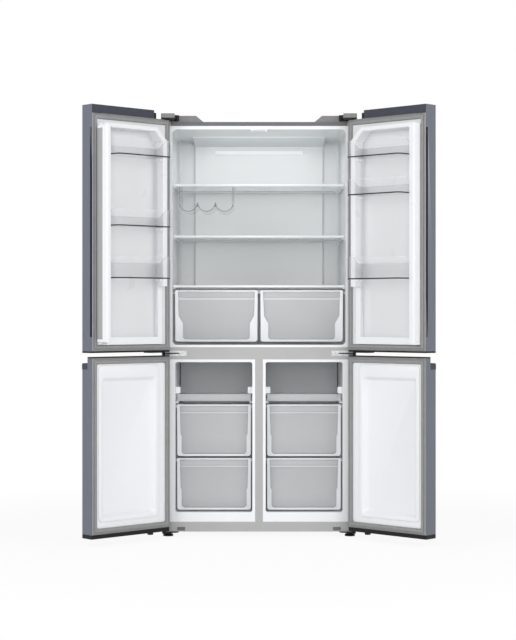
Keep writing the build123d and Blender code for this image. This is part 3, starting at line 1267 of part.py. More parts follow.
def lower_skin():
    skin = door_channel(LOWER_BOTTOM + LOWER_CAP, LOWER_TOP - LOWER_TOP_CAP)
    step = DOOR_OUT_Y + GRIP_STEP
    return skin - block(DOOR_X0 - PAST, DOOR_X1 + PAST, DOOR_OUT_Y - PAST, step, GRIP_BOTTOM, LOWER_TOP)


def freezer_flange():
    """Sides of a lower door's liner, inside the seal."""
    z0 = LOWER_BOTTOM + LOWER_CAP + LINER_INSET
    z1 = LOWER_TOP - LOWER_TOP_CAP - LINER_INSET
    return DOOR_X0 + LINER_INSET, DOOR_X1 - LINER_INSET, z0, z1


def freezer_plateau():
    x0, x1, z0, z1 = freezer_flange()
    return (x0 + FREEZER_PANEL_HINGE, x1 - FREEZER_PANEL_FREE,
            z0 + FREEZER_PANEL_BOTTOM, z1 - FREEZER_PANEL_TOP)


def freezer_pocket(inset):
    """Sides of the pocket in a lower door, or of the hole in its insulation when inset."""
    x0, x1, z0, z1 = freezer_plateau()
    return (x0 + FREEZER_RIM_HINGE - inset, x1 - FREEZER_RIM_FREE + inset,
            z0 + FREEZER_RIM_BOTTOM - inset, z1 - FREEZER_RIM_TOP + inset)


def lower_liner():
    t = DOOR_LINER
    y = DOOR_IN_Y
    plateau = fillet(rectangle(*freezer_plateau()).vertices(), FREEZER_RIM_ROUND)
    pocket = fillet(rectangle(*freezer_pocket(0)).vertices(), FREEZER_POCKET_ROUND)
    well = grown(pocket, t)
    rim = prism_y(plateau - pocket, y, y + FREEZER_RIM)
    rim = fillet(rim.edges().group_by(Axis.Y)[-1], RIM_ROUND)
    flange = rectangle(*freezer_flange()) - grown(pocket, t / 2)
    liner = rim + prism_y(flange, y, y + t)
    liner -= prism_y(grown(plateau, -t) - well, y - PAST, y + FREEZER_RIM - t)
    liner += prism_y(well - pocket, y - POCKET_DEPTH, y + t)
    return liner + prism_y(well, y - POCKET_DEPTH - t, y - POCKET_DEPTH)


def lower_core():
    """Insulation of a lower door, as straight blocks, with its caps and grip strip."""
    t = DOOR_LINER
    y = DOOR_IN_Y
    well = y - POCKET_DEPTH - t
    x0 = DOOR_X0 + DOOR_SHEET
    x1 = DOOR_X1 - DOOR_SHEET
    z0 = LOWER_BOTTOM + LOWER_CAP
    z1 = LOWER_TOP - LOWER_TOP_CAP
    step = DOOR_OUT_Y + GRIP_STEP
    slab = block(x0, x1, DOOR_OUT_Y + DOOR_SHEET, well, z0, GRIP_BOTTOM)
    slab -= pin_bore(z0 - PAST, LOWER_BOTTOM + PIN_REACH + PIN_END_GAP)
    head = block(x0, x1, step, well, GRIP_BOTTOM, z1)
    head -= pin_bore(LOWER_TOP - PIN_REACH - PIN_END_GAP, z1 + PAST)
    foam = [slab, head]
    sides = freezer_pocket(t)
    plateau = fillet(rectangle(*freezer_plateau()).vertices(), FREEZER_RIM_ROUND)
    around = rectangle(x0, x1, z0, z1) - rectangle(*sides)
    rim = grown(plateau, -t) - rectangle(*sides)
    for ring, front, back in ((around, well, y), (rim, y, y + FREEZER_RIM - t)):
        foam += [prism_y(bar, front, back) for bar in bars(ring, *sides)]
    top = block(DOOR_X0, DOOR_X1, step, y, z1, LOWER_TOP) - pin_bore(z1 - PAST, LOWER_TOP + PAST)
    bottom = block(DOOR_X0, DOOR_X1, DOOR_OUT_Y, y, LOWER_BOTTOM, z0)
    bottom = fillet(bottom.edges().filter_by(Axis.Z).group_by(Axis.Y)[0], DOOR_EDGE_ROUND)
    post_x = DOOR_X0 + STOP_POST_FROM
    post_y = DOOR_OUT_Y + STOP_POST_BACK
    bottom += block(post_x, post_x + STOP_POST, post_y, post_y + STOP_POST, LOWER_BOTTOM - STOP_POST_DROP, z0)
    bottom -= pin_bore(LOWER_BOTTOM - PAST, z0 + PAST)
    grip = block(DOOR_X0, DOOR_X1, DOOR_OUT_Y, step, GRIP_BOTTOM, GRIP_TOP)
    grip = chamfer(grip.edges().filter_by(Axis.X).group_by(Axis.Y)[0].sort_by(Axis.Z)[-1], GRIP_CHAMFER)
    grip -= block(DOOR_X0 + GRIP_END, DOOR_X1 - GRIP_END, DOOR_OUT_Y + GRIP_LEDGE, step - GRIP_BACK,
                  GRIP_BOTTOM + GRIP_FLOOR, GRIP_TOP + PAST)
    return foam + [top, bottom, grip]


def save(name, pieces):
    solids = [solid for piece in pieces for solid in piece.solids()]
    shape = solids[0] if len(solids) == 1 else Compound(children=solids)
    shape.label = name
    export_step(shape, os.path.join("parts", name + ".step"))


def save_pair(left_name, right_name, pieces):
    save(left_name, pieces)
    save(right_name, [mirror(piece, about=Plane.YZ) for piece in pieces])


def save_cabinet():
    save("cabinet_shell", [cabinet_shell()])
    save("rear_panel", [rear_panel()])
    save("front_frame", front_frame())
    save("frame_plugs", frame_plugs())
    save("cabinet_insulation", insulation())
    save("fridge_liner", [fridge_liner()])
    save("freezer_liners", both(freezer_liner()))
    save("bottom_deck", [bottom_deck()])
    save("compressor_base", [compressor_base()])
    save("machine_cover", [machine_cover(), cord_inlet()])
    save("duct_covers", duct_covers())
    save("lamp_lens", [lamp()])
    save("mullion_guide", [mullion_guide()])


def save_inside():
    glass = []
    trims = []
    for level, setback in shelf_places():
        plate, front, rear = shelf(level, setback)
        glass.append(plate)
        trims += [front, rear]
    save("shelf_glass", glass)
    save("shelf_trims", trims + [crisper_rail()])
    save("bottle_rack", [bottle_rack()])
    save("drawer_runners", runners())
    y0 = FRONT + CRISPER_SETBACK + CRISPER_BEHIND_COVER
    crisper = drawer(CRISPER_X0, CRISPER_X1, y0, DUCT_Y - CRISPER_BACK_GAP, CRISPER_Z, CRISPER_STEP)
    save_pair("crisper_left", "crisper_right", crisper)
    save_pair("freezer_tray_left", "freezer_tray_right", [freezer_tray()])
    y0 = FRONT + DRAWER_SETBACK
    upper = drawer(DRAWER_X0, DRAWER_X1, y0, FREEZER_DUCT_Y - DRAWER_BACK_GAP, UP_DRAWER_Z, 0)
    save_pair("freezer_drawer_upper_left", "freezer_drawer_upper_right", upper)
    lower = drawer(DRAWER_X0, DRAWER_X1, y0, LOW_BACK - LOW_DRAWER_BACK_GAP, LOW_DRAWER_Z, 0)
    save_pair("freezer_drawer_lower_left", "freezer_drawer_lower_right", lower)


def save_machinery():
    save("compressor", compressor())
    save("drain_pan", [drain_pan()])
    save("condenser", [condenser()])
    save("fan_motors", fan_motors())
    save("condenser_fan", [condenser_fan()])
    save("evaporator", [evaporator()])
    save("evaporator_fan", [evaporator_fan()])
    save_pair("rear_roller_left", "rear_roller_right", [rear_roller()])
    save_pair("leveling_foot_left", "leveling_foot_right", [leveling_foot()])
    save("top_hinges", both(top_hinge()))
    save("hinge_covers", both(hinge_cover()))
    save("middle_hinges", both(middle_hinge()))
    save("bottom_hinges", both(bottom_hinge()))
    save("hinge_screws", hinge_screws())


def save_doors():
    left_rebate = MULLION_FROM_EDGE + MULLION_THICKNESS / 2 + MULLION_ROOM
    sides = [("left", left_rebate, BIN_LEVELS_LEFT, BIN_HEIGHTS_LEFT),
             ("right", LINER_INSET, BIN_LEVELS_RIGHT, BIN_HEIGHTS_RIGHT)]
    for side, rebate, shares, heights in sides:
        liner = upper_liner(rebate, shares)
        if side == "left":
            liner += mullion_brackets()
        upper = {
            "skin": [upper_skin()],
            "core": upper_core(rebate, shares),
            "liner": [liner],
            "gasket": [door_gasket(UPPER_BOTTOM + UPPER_CAP, UPPER_BODY_TOP)],
            "bins": door_bins(shares, heights),
        }
        lower = {
            "skin": [lower_skin()],
            "core": lower_core(),
            "liner": [lower_liner()],
            "gasket": [door_gasket(LOWER_BOTTOM + LOWER_CAP, LOWER_TOP - LOWER_TOP_CAP)],
        }
        for level, pieces in (("upper", upper), ("lower", lower)):
            for kind, shapes in pieces.items():
                opened = [swing(shape) for shape in shapes]
                if side == "right":
                    opened = [mirror(shape, about=Plane.YZ) for shape in opened]
                save(f"{level}_{side}_door_{kind}", opened)
    save("flip_mullion", [swing(piece) for piece in flip_mullion()])


def main():
    os.makedirs("parts", exist_ok=True)
    save_cabinet()
    save_inside()
    save_machinery()
    save_doors()


if __name__ == "__main__":
    main()
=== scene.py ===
import json
import math

import bpy
from bpy.props import FloatProperty, FloatVectorProperty, PointerProperty
from bpy.types import NodeSocket, Operator, Panel, PropertyGroup
from mathutils import Matrix, Vector
from mathutils.geometry import tessellate_polygon


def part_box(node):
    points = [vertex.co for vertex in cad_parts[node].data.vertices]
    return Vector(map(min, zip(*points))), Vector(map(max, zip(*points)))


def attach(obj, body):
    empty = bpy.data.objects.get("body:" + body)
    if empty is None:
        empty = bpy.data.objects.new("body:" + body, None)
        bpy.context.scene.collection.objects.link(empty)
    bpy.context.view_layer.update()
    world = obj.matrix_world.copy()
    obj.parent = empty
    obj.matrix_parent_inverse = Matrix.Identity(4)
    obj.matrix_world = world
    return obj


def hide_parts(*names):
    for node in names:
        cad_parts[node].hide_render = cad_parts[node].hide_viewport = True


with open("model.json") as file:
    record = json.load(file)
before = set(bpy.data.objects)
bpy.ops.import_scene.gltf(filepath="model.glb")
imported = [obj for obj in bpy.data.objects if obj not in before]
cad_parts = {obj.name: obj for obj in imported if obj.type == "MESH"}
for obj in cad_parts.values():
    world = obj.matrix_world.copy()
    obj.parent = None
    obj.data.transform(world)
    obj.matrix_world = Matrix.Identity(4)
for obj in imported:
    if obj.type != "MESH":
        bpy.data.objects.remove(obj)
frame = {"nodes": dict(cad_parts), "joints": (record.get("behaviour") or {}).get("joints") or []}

bl_info = {
    "name": "Four Door Refrigerator",
    "version": (1, 0, 0),
    "blender": (4, 5, 0),
    "location": "View3D > Sidebar > Refrigerator",
    "description": "Finishes and fine pieces of a four-door refrigerator, built round its fixed frame",
    "category": "Object",
}

NODES = frame["nodes"]
JOINTS = {joint["name"]: joint for joint in frame["joints"]}
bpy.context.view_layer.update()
SIDES = ("left", "right")
MM = 0.001
SAME_PLACE = 5  # decimals of a metre at which two vertices count as one
WELD = 2e-6  # metres within which a frame node's vertices are joined
SHARP = 40.0  # degrees between two faces from which their edge is rounded
MOULDED = 50.0  # degrees between two faces up to which a moulded piece shades smoothly
LEFT_DOOR = "upper_left_door"
WHITE = (1.0, 1.0, 1.0, 1.0)
Y, Z = 1, 2


# Frame helpers


def door_turn(door):
    """Matrix that carries a closed door to the open place in which the frame holds it."""
    joint = JOINTS[door + "_hinge"]
    pivot = Vector(joint["pos_m"])
    swing = Matrix.Rotation(math.radians(-joint["range_deg"][0]), 4, Vector(joint["axis"]))
    return Matrix.Translation(pivot) @ swing @ Matrix.Translation(-pivot)


def corners(points):
    """Lowest and highest corner of a list of points."""
    low = Vector([min(p[axis] for p in points) for axis in range(3)])
    high = Vector([max(p[axis] for p in points) for axis in range(3)])
    return low, high


def closed_box(node, door):
    """Box of a door's node with the door closed."""
    back = door_turn(door).inverted()
    return corners([back @ v.co for v in NODES[node].data.vertices])


def loose_boxes(node, matrix):
    """Boxes of the separate solids in a node, carried by a matrix, lowest first."""
    mesh = NODES[node].data
    places = [tuple(round(c, SAME_PLACE) for c in v.co) for v in mesh.vertices]
    parent = {place: place for place in places}

    def root(place):
        while parent[place] != place:
            parent[place] = parent[parent[place]]
            place = parent[place]
        return place

    for polygon in mesh.polygons:
        ring = [places[index] for index in polygon.vertices]
        for place in ring[1:]:
            parent[root(place)] = root(ring[0])
    groups = {}
    for place in parent:
        groups.setdefault(root(place), []).append(matrix @ Vector(place))
    return sorted((corners(group) for group in groups.values()), key=lambda box: box[0].z)


# Mesh helpers


def rounded(points, radii, steps=6):
    """Corner points replaced by arcs of some steps, as a closed loop of 2D points."""
    loop = []
    count = len(points)
    for index, (x, y) in enumerate(points):
        here = Vector((x, y))
        before = (Vector(points[index - 1]) - here).normalized()
        after = (Vector(points[(index + 1) % count]) - here).normalized()
        radius = radii[index] if isinstance(radii, (list, tuple)) else radii
        if radius <= 0:
            loop.append((x, y))
            continue
        half = before.angle(after) / 2
        reach = radius / math.tan(half)
        centre = here + (before + after).normalized() * (radius / math.sin(half))
        first = here + before * reach - centre
        last = here + after * reach - centre
        for step in range(steps + 1):
            direction = first.lerp(last, step / steps)
            loop.append(tuple(centre + direction.normalized() * radius))
    return loop


def rectangle(x0, x1, y0, y1, radius, steps=6):
    return rounded([(x0, y0), (x1, y0), (x1, y1), (x0, y1)], radius, steps)


class Builder:
    """Gathers vertices and faces of one mesh, with a material slot for each face."""

    def __init__(self):
        self.vertices = []
        self.faces = []
        self.slots = []

    def loft(self, loops, slot=0, closed=False, slots=None):
        """Skin over a row of closed loops with equal counts, capped unless the row closes on itself."""
        count = len(loops[0])
        start = len(self.vertices)
        for loop in loops:
            self.vertices.extend(Vector(p) for p in loop)
        spans = len(loops) if closed else len(loops) - 1
        slots = slots or [slot] * spans
        for span in range(spans):
            a = start + span * count
            b = start + ((span + 1) % len(loops)) * count
            for index in range(count):
                following = (index + 1) % count
                self.faces.append((a + index, a + following, b + following, b + index))
                self.slots.append(slots[span])
        if not closed:
            end = start + spans * count
            self.faces.append(tuple(range(start + count - 1, start - 1, -1)))
            self.faces.append(tuple(range(end, end + count)))
            self.slots += [slots[0], slots[-1]]

    def plate(self, outer, holes, front, back, slot=0):
        """Upright plate of an X-Z outline with holes, between two depths."""
        loops = [outer] + [hole[::-1] for hole in holes]
        start = len(self.vertices)
        points = [point for loop in loops for point in loop]
        for depth in (front, back):
            self.vertices.extend(Vector((x, depth, z)) for x, z in points)
        flat = [[Vector((x, z, 0.0)) for x, z in loop] for loop in loops]
        for a, b, c in tessellate_polygon(flat):
            one, two, three = (Vector(points[index]) for index in (a, b, c))
            if (two - one).cross(three - one) < 0:
                b, c = c, b
            self.faces.append((start + a, start + b, start + c))
            self.faces.append(tuple(start + len(points) + index for index in (a, c, b)))
            self.slots += [slot, slot]
        first = start
        for loop in loops:
            count = len(loop)
            for index in range(count):
                here, following = first + index, first + (index + 1) % count
                self.faces.append((following, here, here + len(points), following + len(points)))
                self.slots.append(slot)
            first += count

    def recolour(self, since, choose):
        """New slots for the faces gathered since a count; choose gives None to leave one."""
        for index in range(since, len(self.faces)):
            ring = [self.vertices[v] for v in self.faces[index]]
            found = choose(sum(ring, Vector()) / len(ring))
            if found is not None:
                self.slots[index] = found

    def piece(self, name, materials, body, slot, matrix=None, flip=False, smooth_angle=35.0):
        """Turns the gathered faces into an object that rides on a body."""
        mesh = bpy.data.meshes.new(name)
        points = [matrix @ v for v in self.vertices] if matrix else self.vertices
        faces = [face[::-1] for face in self.faces] if flip else self.faces
        mesh.from_pydata([tuple(p) for p in points], [], faces)
        for material in materials:
            mesh.materials.append(material)
        for polygon, index in zip(mesh.polygons, self.slots):
            polygon.material_index = index
        mesh.validate()
        mesh.shade_smooth()
        mesh.set_sharp_from_angle(angle=math.radians(smooth_angle))
        made = bpy.data.objects.new(name, mesh)
        bpy.context.scene.collection.objects.link(made)
        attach(made, body)
        return made


def soften(made, width, segments=2):
    """Small rounds on the sharp edges of an object."""
    bevel = made.modifiers.new("edge_round", "BEVEL")
    bevel.width = width
    bevel.segments = segments
    bevel.limit_method = "ANGLE"
    bevel.angle_limit = math.radians(SHARP)
    bevel.harden_normals = True


def below(axis, limit):
    """Chooser of slot 1 for faces below a limit on an axis and slot 0 for the others."""
    return lambda centre: 1 if centre[axis] < limit else 0


def finish(nodes, *materials, choose=None, ease=0.0, segments=2):
    """Gives nodes their materials; choose names a face's slot from its centre, ease rounds sharp edges."""
    for node in nodes.split():
        mesh = NODES[node].data
        mesh.materials.clear()
        for material in materials:
            mesh.materials.append(material)
        for polygon in mesh.polygons:
            polygon.material_index = choose(polygon.center) if choose else 0
        if ease:
            weld = NODES[node].modifiers.new("weld", "WELD")
            weld.merge_threshold = WELD
            soften(NODES[node], ease, segments)


# Materials


class Tree:
    """A node tree whose nodes are made together with their inputs."""

    def __init__(self, tree):
        self.tree = tree

    def put(self, node, inputs):
        """Sets a node's inputs to values, or links them where a socket is given."""
        for key, value in inputs.items():
            if isinstance(value, NodeSocket):
                self.tree.links.new(value, node.inputs[key])
            else:
                node.inputs[key].default_value = value

    def node(self, kind, inputs=None, **settings):
        made = self.tree.nodes.new("ShaderNode" + kind)
        for key, value in settings.items():
            setattr(made, key, value)
        self.put(made, inputs or {})
        return made


class Finish(Tree):
    """A procedural material built on one principled shader."""

    GRAIN = 0.55  # roughness of the noise
    BAND = (0.3, 0.7)  # part of a factor's range over which the colour changes
    SMOOTHEST = 0.02

    def __init__(self, name, colour_name, roughness, metallic=0.0, specular=0.5):
        self.material = bpy.data.materials.new(name)
        self.material.use_nodes = True
        super().__init__(self.material.node_tree)
        self.shader = self.tree.nodes["Principled BSDF"]
        self.colour = tuple(getattr(bpy.context.scene.fridge_colours, colour_name))
        self.roughness = roughness
        self.put(self.shader, {"Base Color": self.colour + (1.0,), "Roughness": roughness,
                               "Metallic": metallic, "Specular IOR Level": specular})

    def place(self, stretch=(1, 1, 1)):
        """Object coordinates in metres, stretched by a scale on each axis."""
        coordinates = self.node("TexCoord").outputs["Object"]
        return self.node("Mapping", {"Vector": coordinates, "Scale": stretch}).outputs["Vector"]

    def noise(self, scale, stretch=(1, 1, 1), detail=3.0):
        inputs = {"Vector": self.place(stretch), "Scale": scale, "Detail": detail, "Roughness": self.GRAIN}
        return self.node("TexNoise", inputs).outputs["Fac"]

    def vary_colour(self, factor, amount):
        """Base colour a little darker and lighter along a factor."""
        ramp = self.node("ValToRGB", {"Fac": factor})
        shares = (1 - amount, 1 + amount)
        for element, position, share in zip(ramp.color_ramp.elements, self.BAND, shares):
            element.position = position
            element.color = [min(1.0, c * share) for c in self.colour] + [1.0]
        self.put(self.shader, {"Base Color": ramp.outputs["Color"]})

    def vary_roughness(self, factor, amount):
        low, high = max(self.SMOOTHEST, self.roughness - amount), min(1.0, self.roughness + amount)
        spread = self.node("MapRange", {"Value": factor, "To Min": low, "To Max": high})
        self.put(self.shader, {"Roughness": spread.outputs["Result"]})
        return self

    def bump(self, factor, depth, strength):
        bump = self.node("Bump", {"Height": factor, "Distance": depth, "Strength": strength})
        self.put(self.shader, {"Normal": bump.outputs["Normal"]})
        return self


def made_once(build):
    """Keeps one copy of each material, whatever number of pieces use it."""
    def look_up(*values):
        name = "_".join([build.__name__] + [str(v) for v in values])
        found = bpy.data.materials.get(name)
        return found if found else build(name, *values)
    return look_up


@made_once
def door_paint(name):
    """Blue-grey metallic paint with a fine upright brush line."""
    look = Finish(name, "door_paint", roughness=0.38, metallic=0.4)
    brush = look.noise(900.0, (1.0, 1.0, 0.02), 2.0)
    look.vary_colour(brush, 0.1)
    look.vary_roughness(look.noise(30.0), 0.04)
    return look.bump(brush, 0.04 * MM, 0.25).material


@made_once
def moulded_plastic(name, colour_name, roughness):
    """Opaque moulded plastic with a faint orange-peel surface."""
    look = Finish(name, colour_name, roughness=roughness)
    look.vary_colour(look.noise(5.0, detail=2.0), 0.004)
    look.vary_roughness(look.noise(12.0, detail=1.0), 0.015)
    return look.bump(look.noise(260.0, detail=1.0), 0.01 * MM, 0.04).material


@made_once
def grained_plastic(name, colour_name, roughness):
    """Matt plastic with a leather-like etched grain."""
    look = Finish(name, colour_name, roughness=roughness, specular=0.25)
    grain = look.noise(1600.0, detail=4.0)
    look.vary_colour(look.noise(60.0), 0.06)
    look.vary_roughness(grain, 0.08)
    return look.bump(grain, 0.1 * MM, 0.4).material


@made_once
def frame_paint(name, colour_name):
    """Satin powder paint on the steel frame."""
    look = Finish(name, colour_name, roughness=0.42, metallic=0.1)
    grain = look.noise(1100.0, detail=2.0)
    look.vary_colour(look.noise(14.0), 0.012)
    look.vary_roughness(grain, 0.06)
    return look.bump(grain, 0.04 * MM, 0.2).material


@made_once
def seal_rubber(name):
    """Soft grey magnetic seal with a dusty bloom."""
    look = Finish(name, "seal", roughness=0.6)
    look.vary_colour(look.noise(35.0), 0.05)
    look.vary_roughness(look.noise(200.0), 0.08)
    return look.bump(look.noise(900.0), 0.04 * MM, 0.25).material


@made_once
def bright_zinc(name):
    """Zinc plate with a faint crystal mottling."""
    look = Finish(name, "zinc", roughness=0.45, metallic=0.6)
    spangle = look.node("TexVoronoi", {"Vector": look.place(), "Scale": 90.0})
    look.vary_colour(spangle.outputs["Distance"], 0.1)
    look.vary_roughness(look.noise(80.0), 0.1)
    return look.material


@made_once
def clear_plastic(name, tint_name, cover):
    """Thin clear polystyrene; cover is the share of light that one surface holds back."""
    look = Finish(name, tint_name, roughness=0.1, specular=0.6)
    look.put(look.shader, {"Alpha": cover})
    return look.vary_roughness(look.noise(25.0), 0.04).material


@made_once
def shelf_glass(name):
    """Toughened glass, faintly green."""
    look = Finish(name, "glass", roughness=0.05, specular=0.6)
    look.put(look.shader, {"Alpha": 0.22})
    return look.vary_roughness(look.noise(12.0), 0.02).material


@made_once
def lamp_glow(name):
    """Milky lens with light behind it."""
    look = Finish(name, "rim_white", roughness=0.3)
    look.put(look.shader, {"Emission Color": WHITE, "Emission Strength": 0.12})
    return look.vary_roughness(look.noise(300.0), 0.06).material


@made_once
def insulation_foam(name):
    look = Finish(name, "foam", roughness=0.9)
    cells = look.noise(700.0, detail=4.0)
    look.vary_colour(cells, 0.12)
    return look.bump(cells, 0.5 * MM, 0.6).material


@made_once
def black_enamel(name):
    look = Finish(name, "black", roughness=0.4, specular=0.2)
    look.vary_roughness(look.noise(60.0), 0.08)
    return look.bump(look.noise(500.0), 0.06 * MM, 0.3).material


@made_once
def coil_aluminium(name):
    look = Finish(name, "zinc", roughness=0.35, metallic=1.0)
    lines = look.noise(600.0, (1.0, 1.0, 0.05))
    look.vary_colour(lines, 0.08)
    return look.vary_roughness(lines, 0.1).material


# Settings


def colour(label, text, value):
    return FloatVectorProperty(
        name=label, description=text, subtype="COLOR", size=3, min=0.0, max=1.0, default=value)


def number(label, text, value, **limits):
    return FloatProperty(name=label, description=text, default=value, **limits)


def length(label, text, value):
    return number(label, text, value, subtype="DISTANCE", unit="LENGTH", min=0.0)


class FridgeColours(PropertyGroup):
    """Colours of the refrigerator's finishes."""

    door_paint: colour("Door paint", "Outer steel of the doors", (0.150, 0.162, 0.198))
    cap_blue: colour("Top cap", "Top caps and grip strips of the doors", (0.05, 0.053, 0.073))
    black: colour("Black", "Bottom caps, feet and stops", (0.006, 0.006, 0.007))
    cabinet_grey: colour("Cabinet", "Outer steel of the cabinet", (0.15, 0.155, 0.165))
    rail_grey: colour("Top rail", "Rail over the refrigerator space", (0.116, 0.119, 0.123))
    frame_grey: colour("Front frame", "Grey front frame of the cabinet", (0.428, 0.426, 0.426))
    seal: colour("Seal", "Door seals", (0.29, 0.29, 0.288))
    mullion_grey: colour("Mullion", "Steel strip of the flip mullion", (0.40, 0.405, 0.41))
    rim_white: colour("White", "Rims, trims and frames", (0.88, 0.89, 0.91))
    # Greyer copy of the rim white: painted shade in the upper doors' hollows
    pocket_white: colour("Pocket", "Hollows of the upper doors", (0.76, 0.775, 0.785))
    # Greyer copy of the rim white for the liners, whose front flanges are painted lighter
    liner_white: colour("Liner", "Inner liners", (0.80, 0.815, 0.825))
    grip_grey: colour("Grip", "Grip troughs of the drawers", (0.60, 0.61, 0.62))
    # Greyer than the liner white: painted shade on the freezer's back wall
    freezer_grey: colour("Freezer back", "Back wall of the freezer spaces", (0.76, 0.78, 0.80))
    clear: colour("Clear plastic", "Bins and trays", (0.88, 0.90, 0.92))
    frost: colour("Frosted plastic", "Tubs of the drawers", (0.84, 0.86, 0.87))
    # Near-black: smoke tint of the rack's walls, and the dark edges of the bins and the rack, which are
    # partly smoke and partly painted dark refraction
    smoke: colour("Smoked edge", "Lower edge of the bins", (0.03, 0.03, 0.034))
    glass: colour("Glass", "Shelves", (0.78, 0.84, 0.84))
    zinc: colour("Zinc", "Hinges, screws and steel plates", (0.56, 0.565, 0.57))
    cover_grey: colour("Hinge cover", "Covers of the top hinges", (0.235, 0.23, 0.232))
    foam: colour("Foam", "Insulation", (0.80, 0.72, 0.48))
    floor: colour("Floor", "Ground under the refrigerator", (0.85, 0.85, 0.85))


class FridgeSizes(PropertyGroup):
    """Sizes of the finely modelled pieces."""

    bin_wall: length("Bin wall", "Wall of the door bins", 2.6 * MM)
    bin_round: length("Bin corner", "Corner radius of the door bins", 20 * MM)
    # The smoked lower edge of a bin is partly smoke and partly painted dark refraction
    bin_edge: length("Bin edge", "Height of the smoked lower edge of a bin", 5.2 * MM)
    frame_depth: length("Drawer frame depth", "Depth of a drawer's front frame", 6 * MM)
    frame_lip: length("Drawer frame lip", "Top lip of a drawer's front frame", 6.5 * MM)
    frame_foot: length("Drawer frame foot", "Bottom bar of a drawer's front frame", 9 * MM)
    grip_height: length("Drawer grip", "Height of the grip trough in a drawer's front", 26 * MM)
    grip_depth: length("Grip depth", "Depth of the grip trough", 11 * MM)
    tub_wall: length("Tub wall", "Wall of a drawer's clear tub", 2.4 * MM)
    edge_round: length("Edge round", "Small round on folded and moulded edges", 0.8 * MM)


class FridgeStage(PropertyGroup):
    """Camera and light."""

    camera_height: length("Camera height", "Height of the camera above the floor", 0.9605)
    camera_distance: length("Camera distance", "From the camera to the middle of the object", 7.359)
    focal: number("Focal length", "Lens for a 36 mm long side", 95.06, subtype="DISTANCE_CAMERA", min=10.0)
    shift_x: number("Shift across", "Lens shift across", -1 / 640)
    shift_y: number("Shift up", "Lens shift upwards", -7.7 / 640)
    world: number("Ambient", "Strength of the light from all sides", 0.53, min=0.0)
    floor_white: number(
        "Floor white", "Share of plain white in the floor by the object", 0.9, subtype="FACTOR", min=0, max=1)
    side: number("Side lights", "Power of each of the two side lights", 70.0, subtype="POWER")
    front: number("Front light", "Power of the light over the camera", 75.0, subtype="POWER")
    inner: number("Inner light", "Power of the lamp in the refrigerator space", 0.6, subtype="POWER")


def sizes():
    return bpy.context.scene.fridge_sizes


# Pieces


class FRIDGE_OT_seals(Operator):
    """Model the ribbed magnetic seals of the doors"""

    bl_idname = "fridge.seals"
    bl_label = "Door seals"

    # Cross-section in millimetres: inward from the seal's edge, then height above the door
    RIB = ((0.0, 0.0), (0.0, 1.5), (0.5, 2.3), (1.0, 2.9), (0.9, 5.4), (1.3, 6.0), (2.0, 6.0), (2.6, 5.2),
           (3.4, 3.2), (4.6, 2.7), (7.6, 2.7), (9.2, 3.1), (9.9, 3.9), (9.5, 4.7), (10.0, 5.6))
    BULB = ((10.0, 1.0), (10.8, 0.0), (19.6, 0.0), (20.6, 1.0))  # inward, then below the seal's top
    LIP = ((20.6, 5.6), (21.2, 4.7), (20.8, 3.8), (21.8, 3.0), (23.4, 2.4), (24.0, 1.6), (24.0, 0.0))

    def execute(self, context):
        for level in ("upper", "lower"):
            for side in SIDES:
                self.seal(f"{level}_{side}_door")
        return {"FINISHED"}

    def seal(self, door):
        node = door + "_gasket"
        low, high = closed_box(node, door)
        top = (high.y - low.y) / MM
        bulb = [(inward, top - below) for inward, below in self.BULB]
        loops = []
        for inward, height in [*self.RIB, *bulb, *self.LIP]:
            d = inward * MM
            y = low.y + height * MM
            loops.append([(low.x + d, y, low.z + d), (high.x - d, y, low.z + d),
                          (high.x - d, y, high.z - d), (low.x + d, y, high.z - d)])
        made = Builder()
        made.loft(loops, closed=True)
        piece = made.piece(door + "_seal", [seal_rubber()], door, "gasket", door_turn(door), flip=True)
        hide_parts(node)


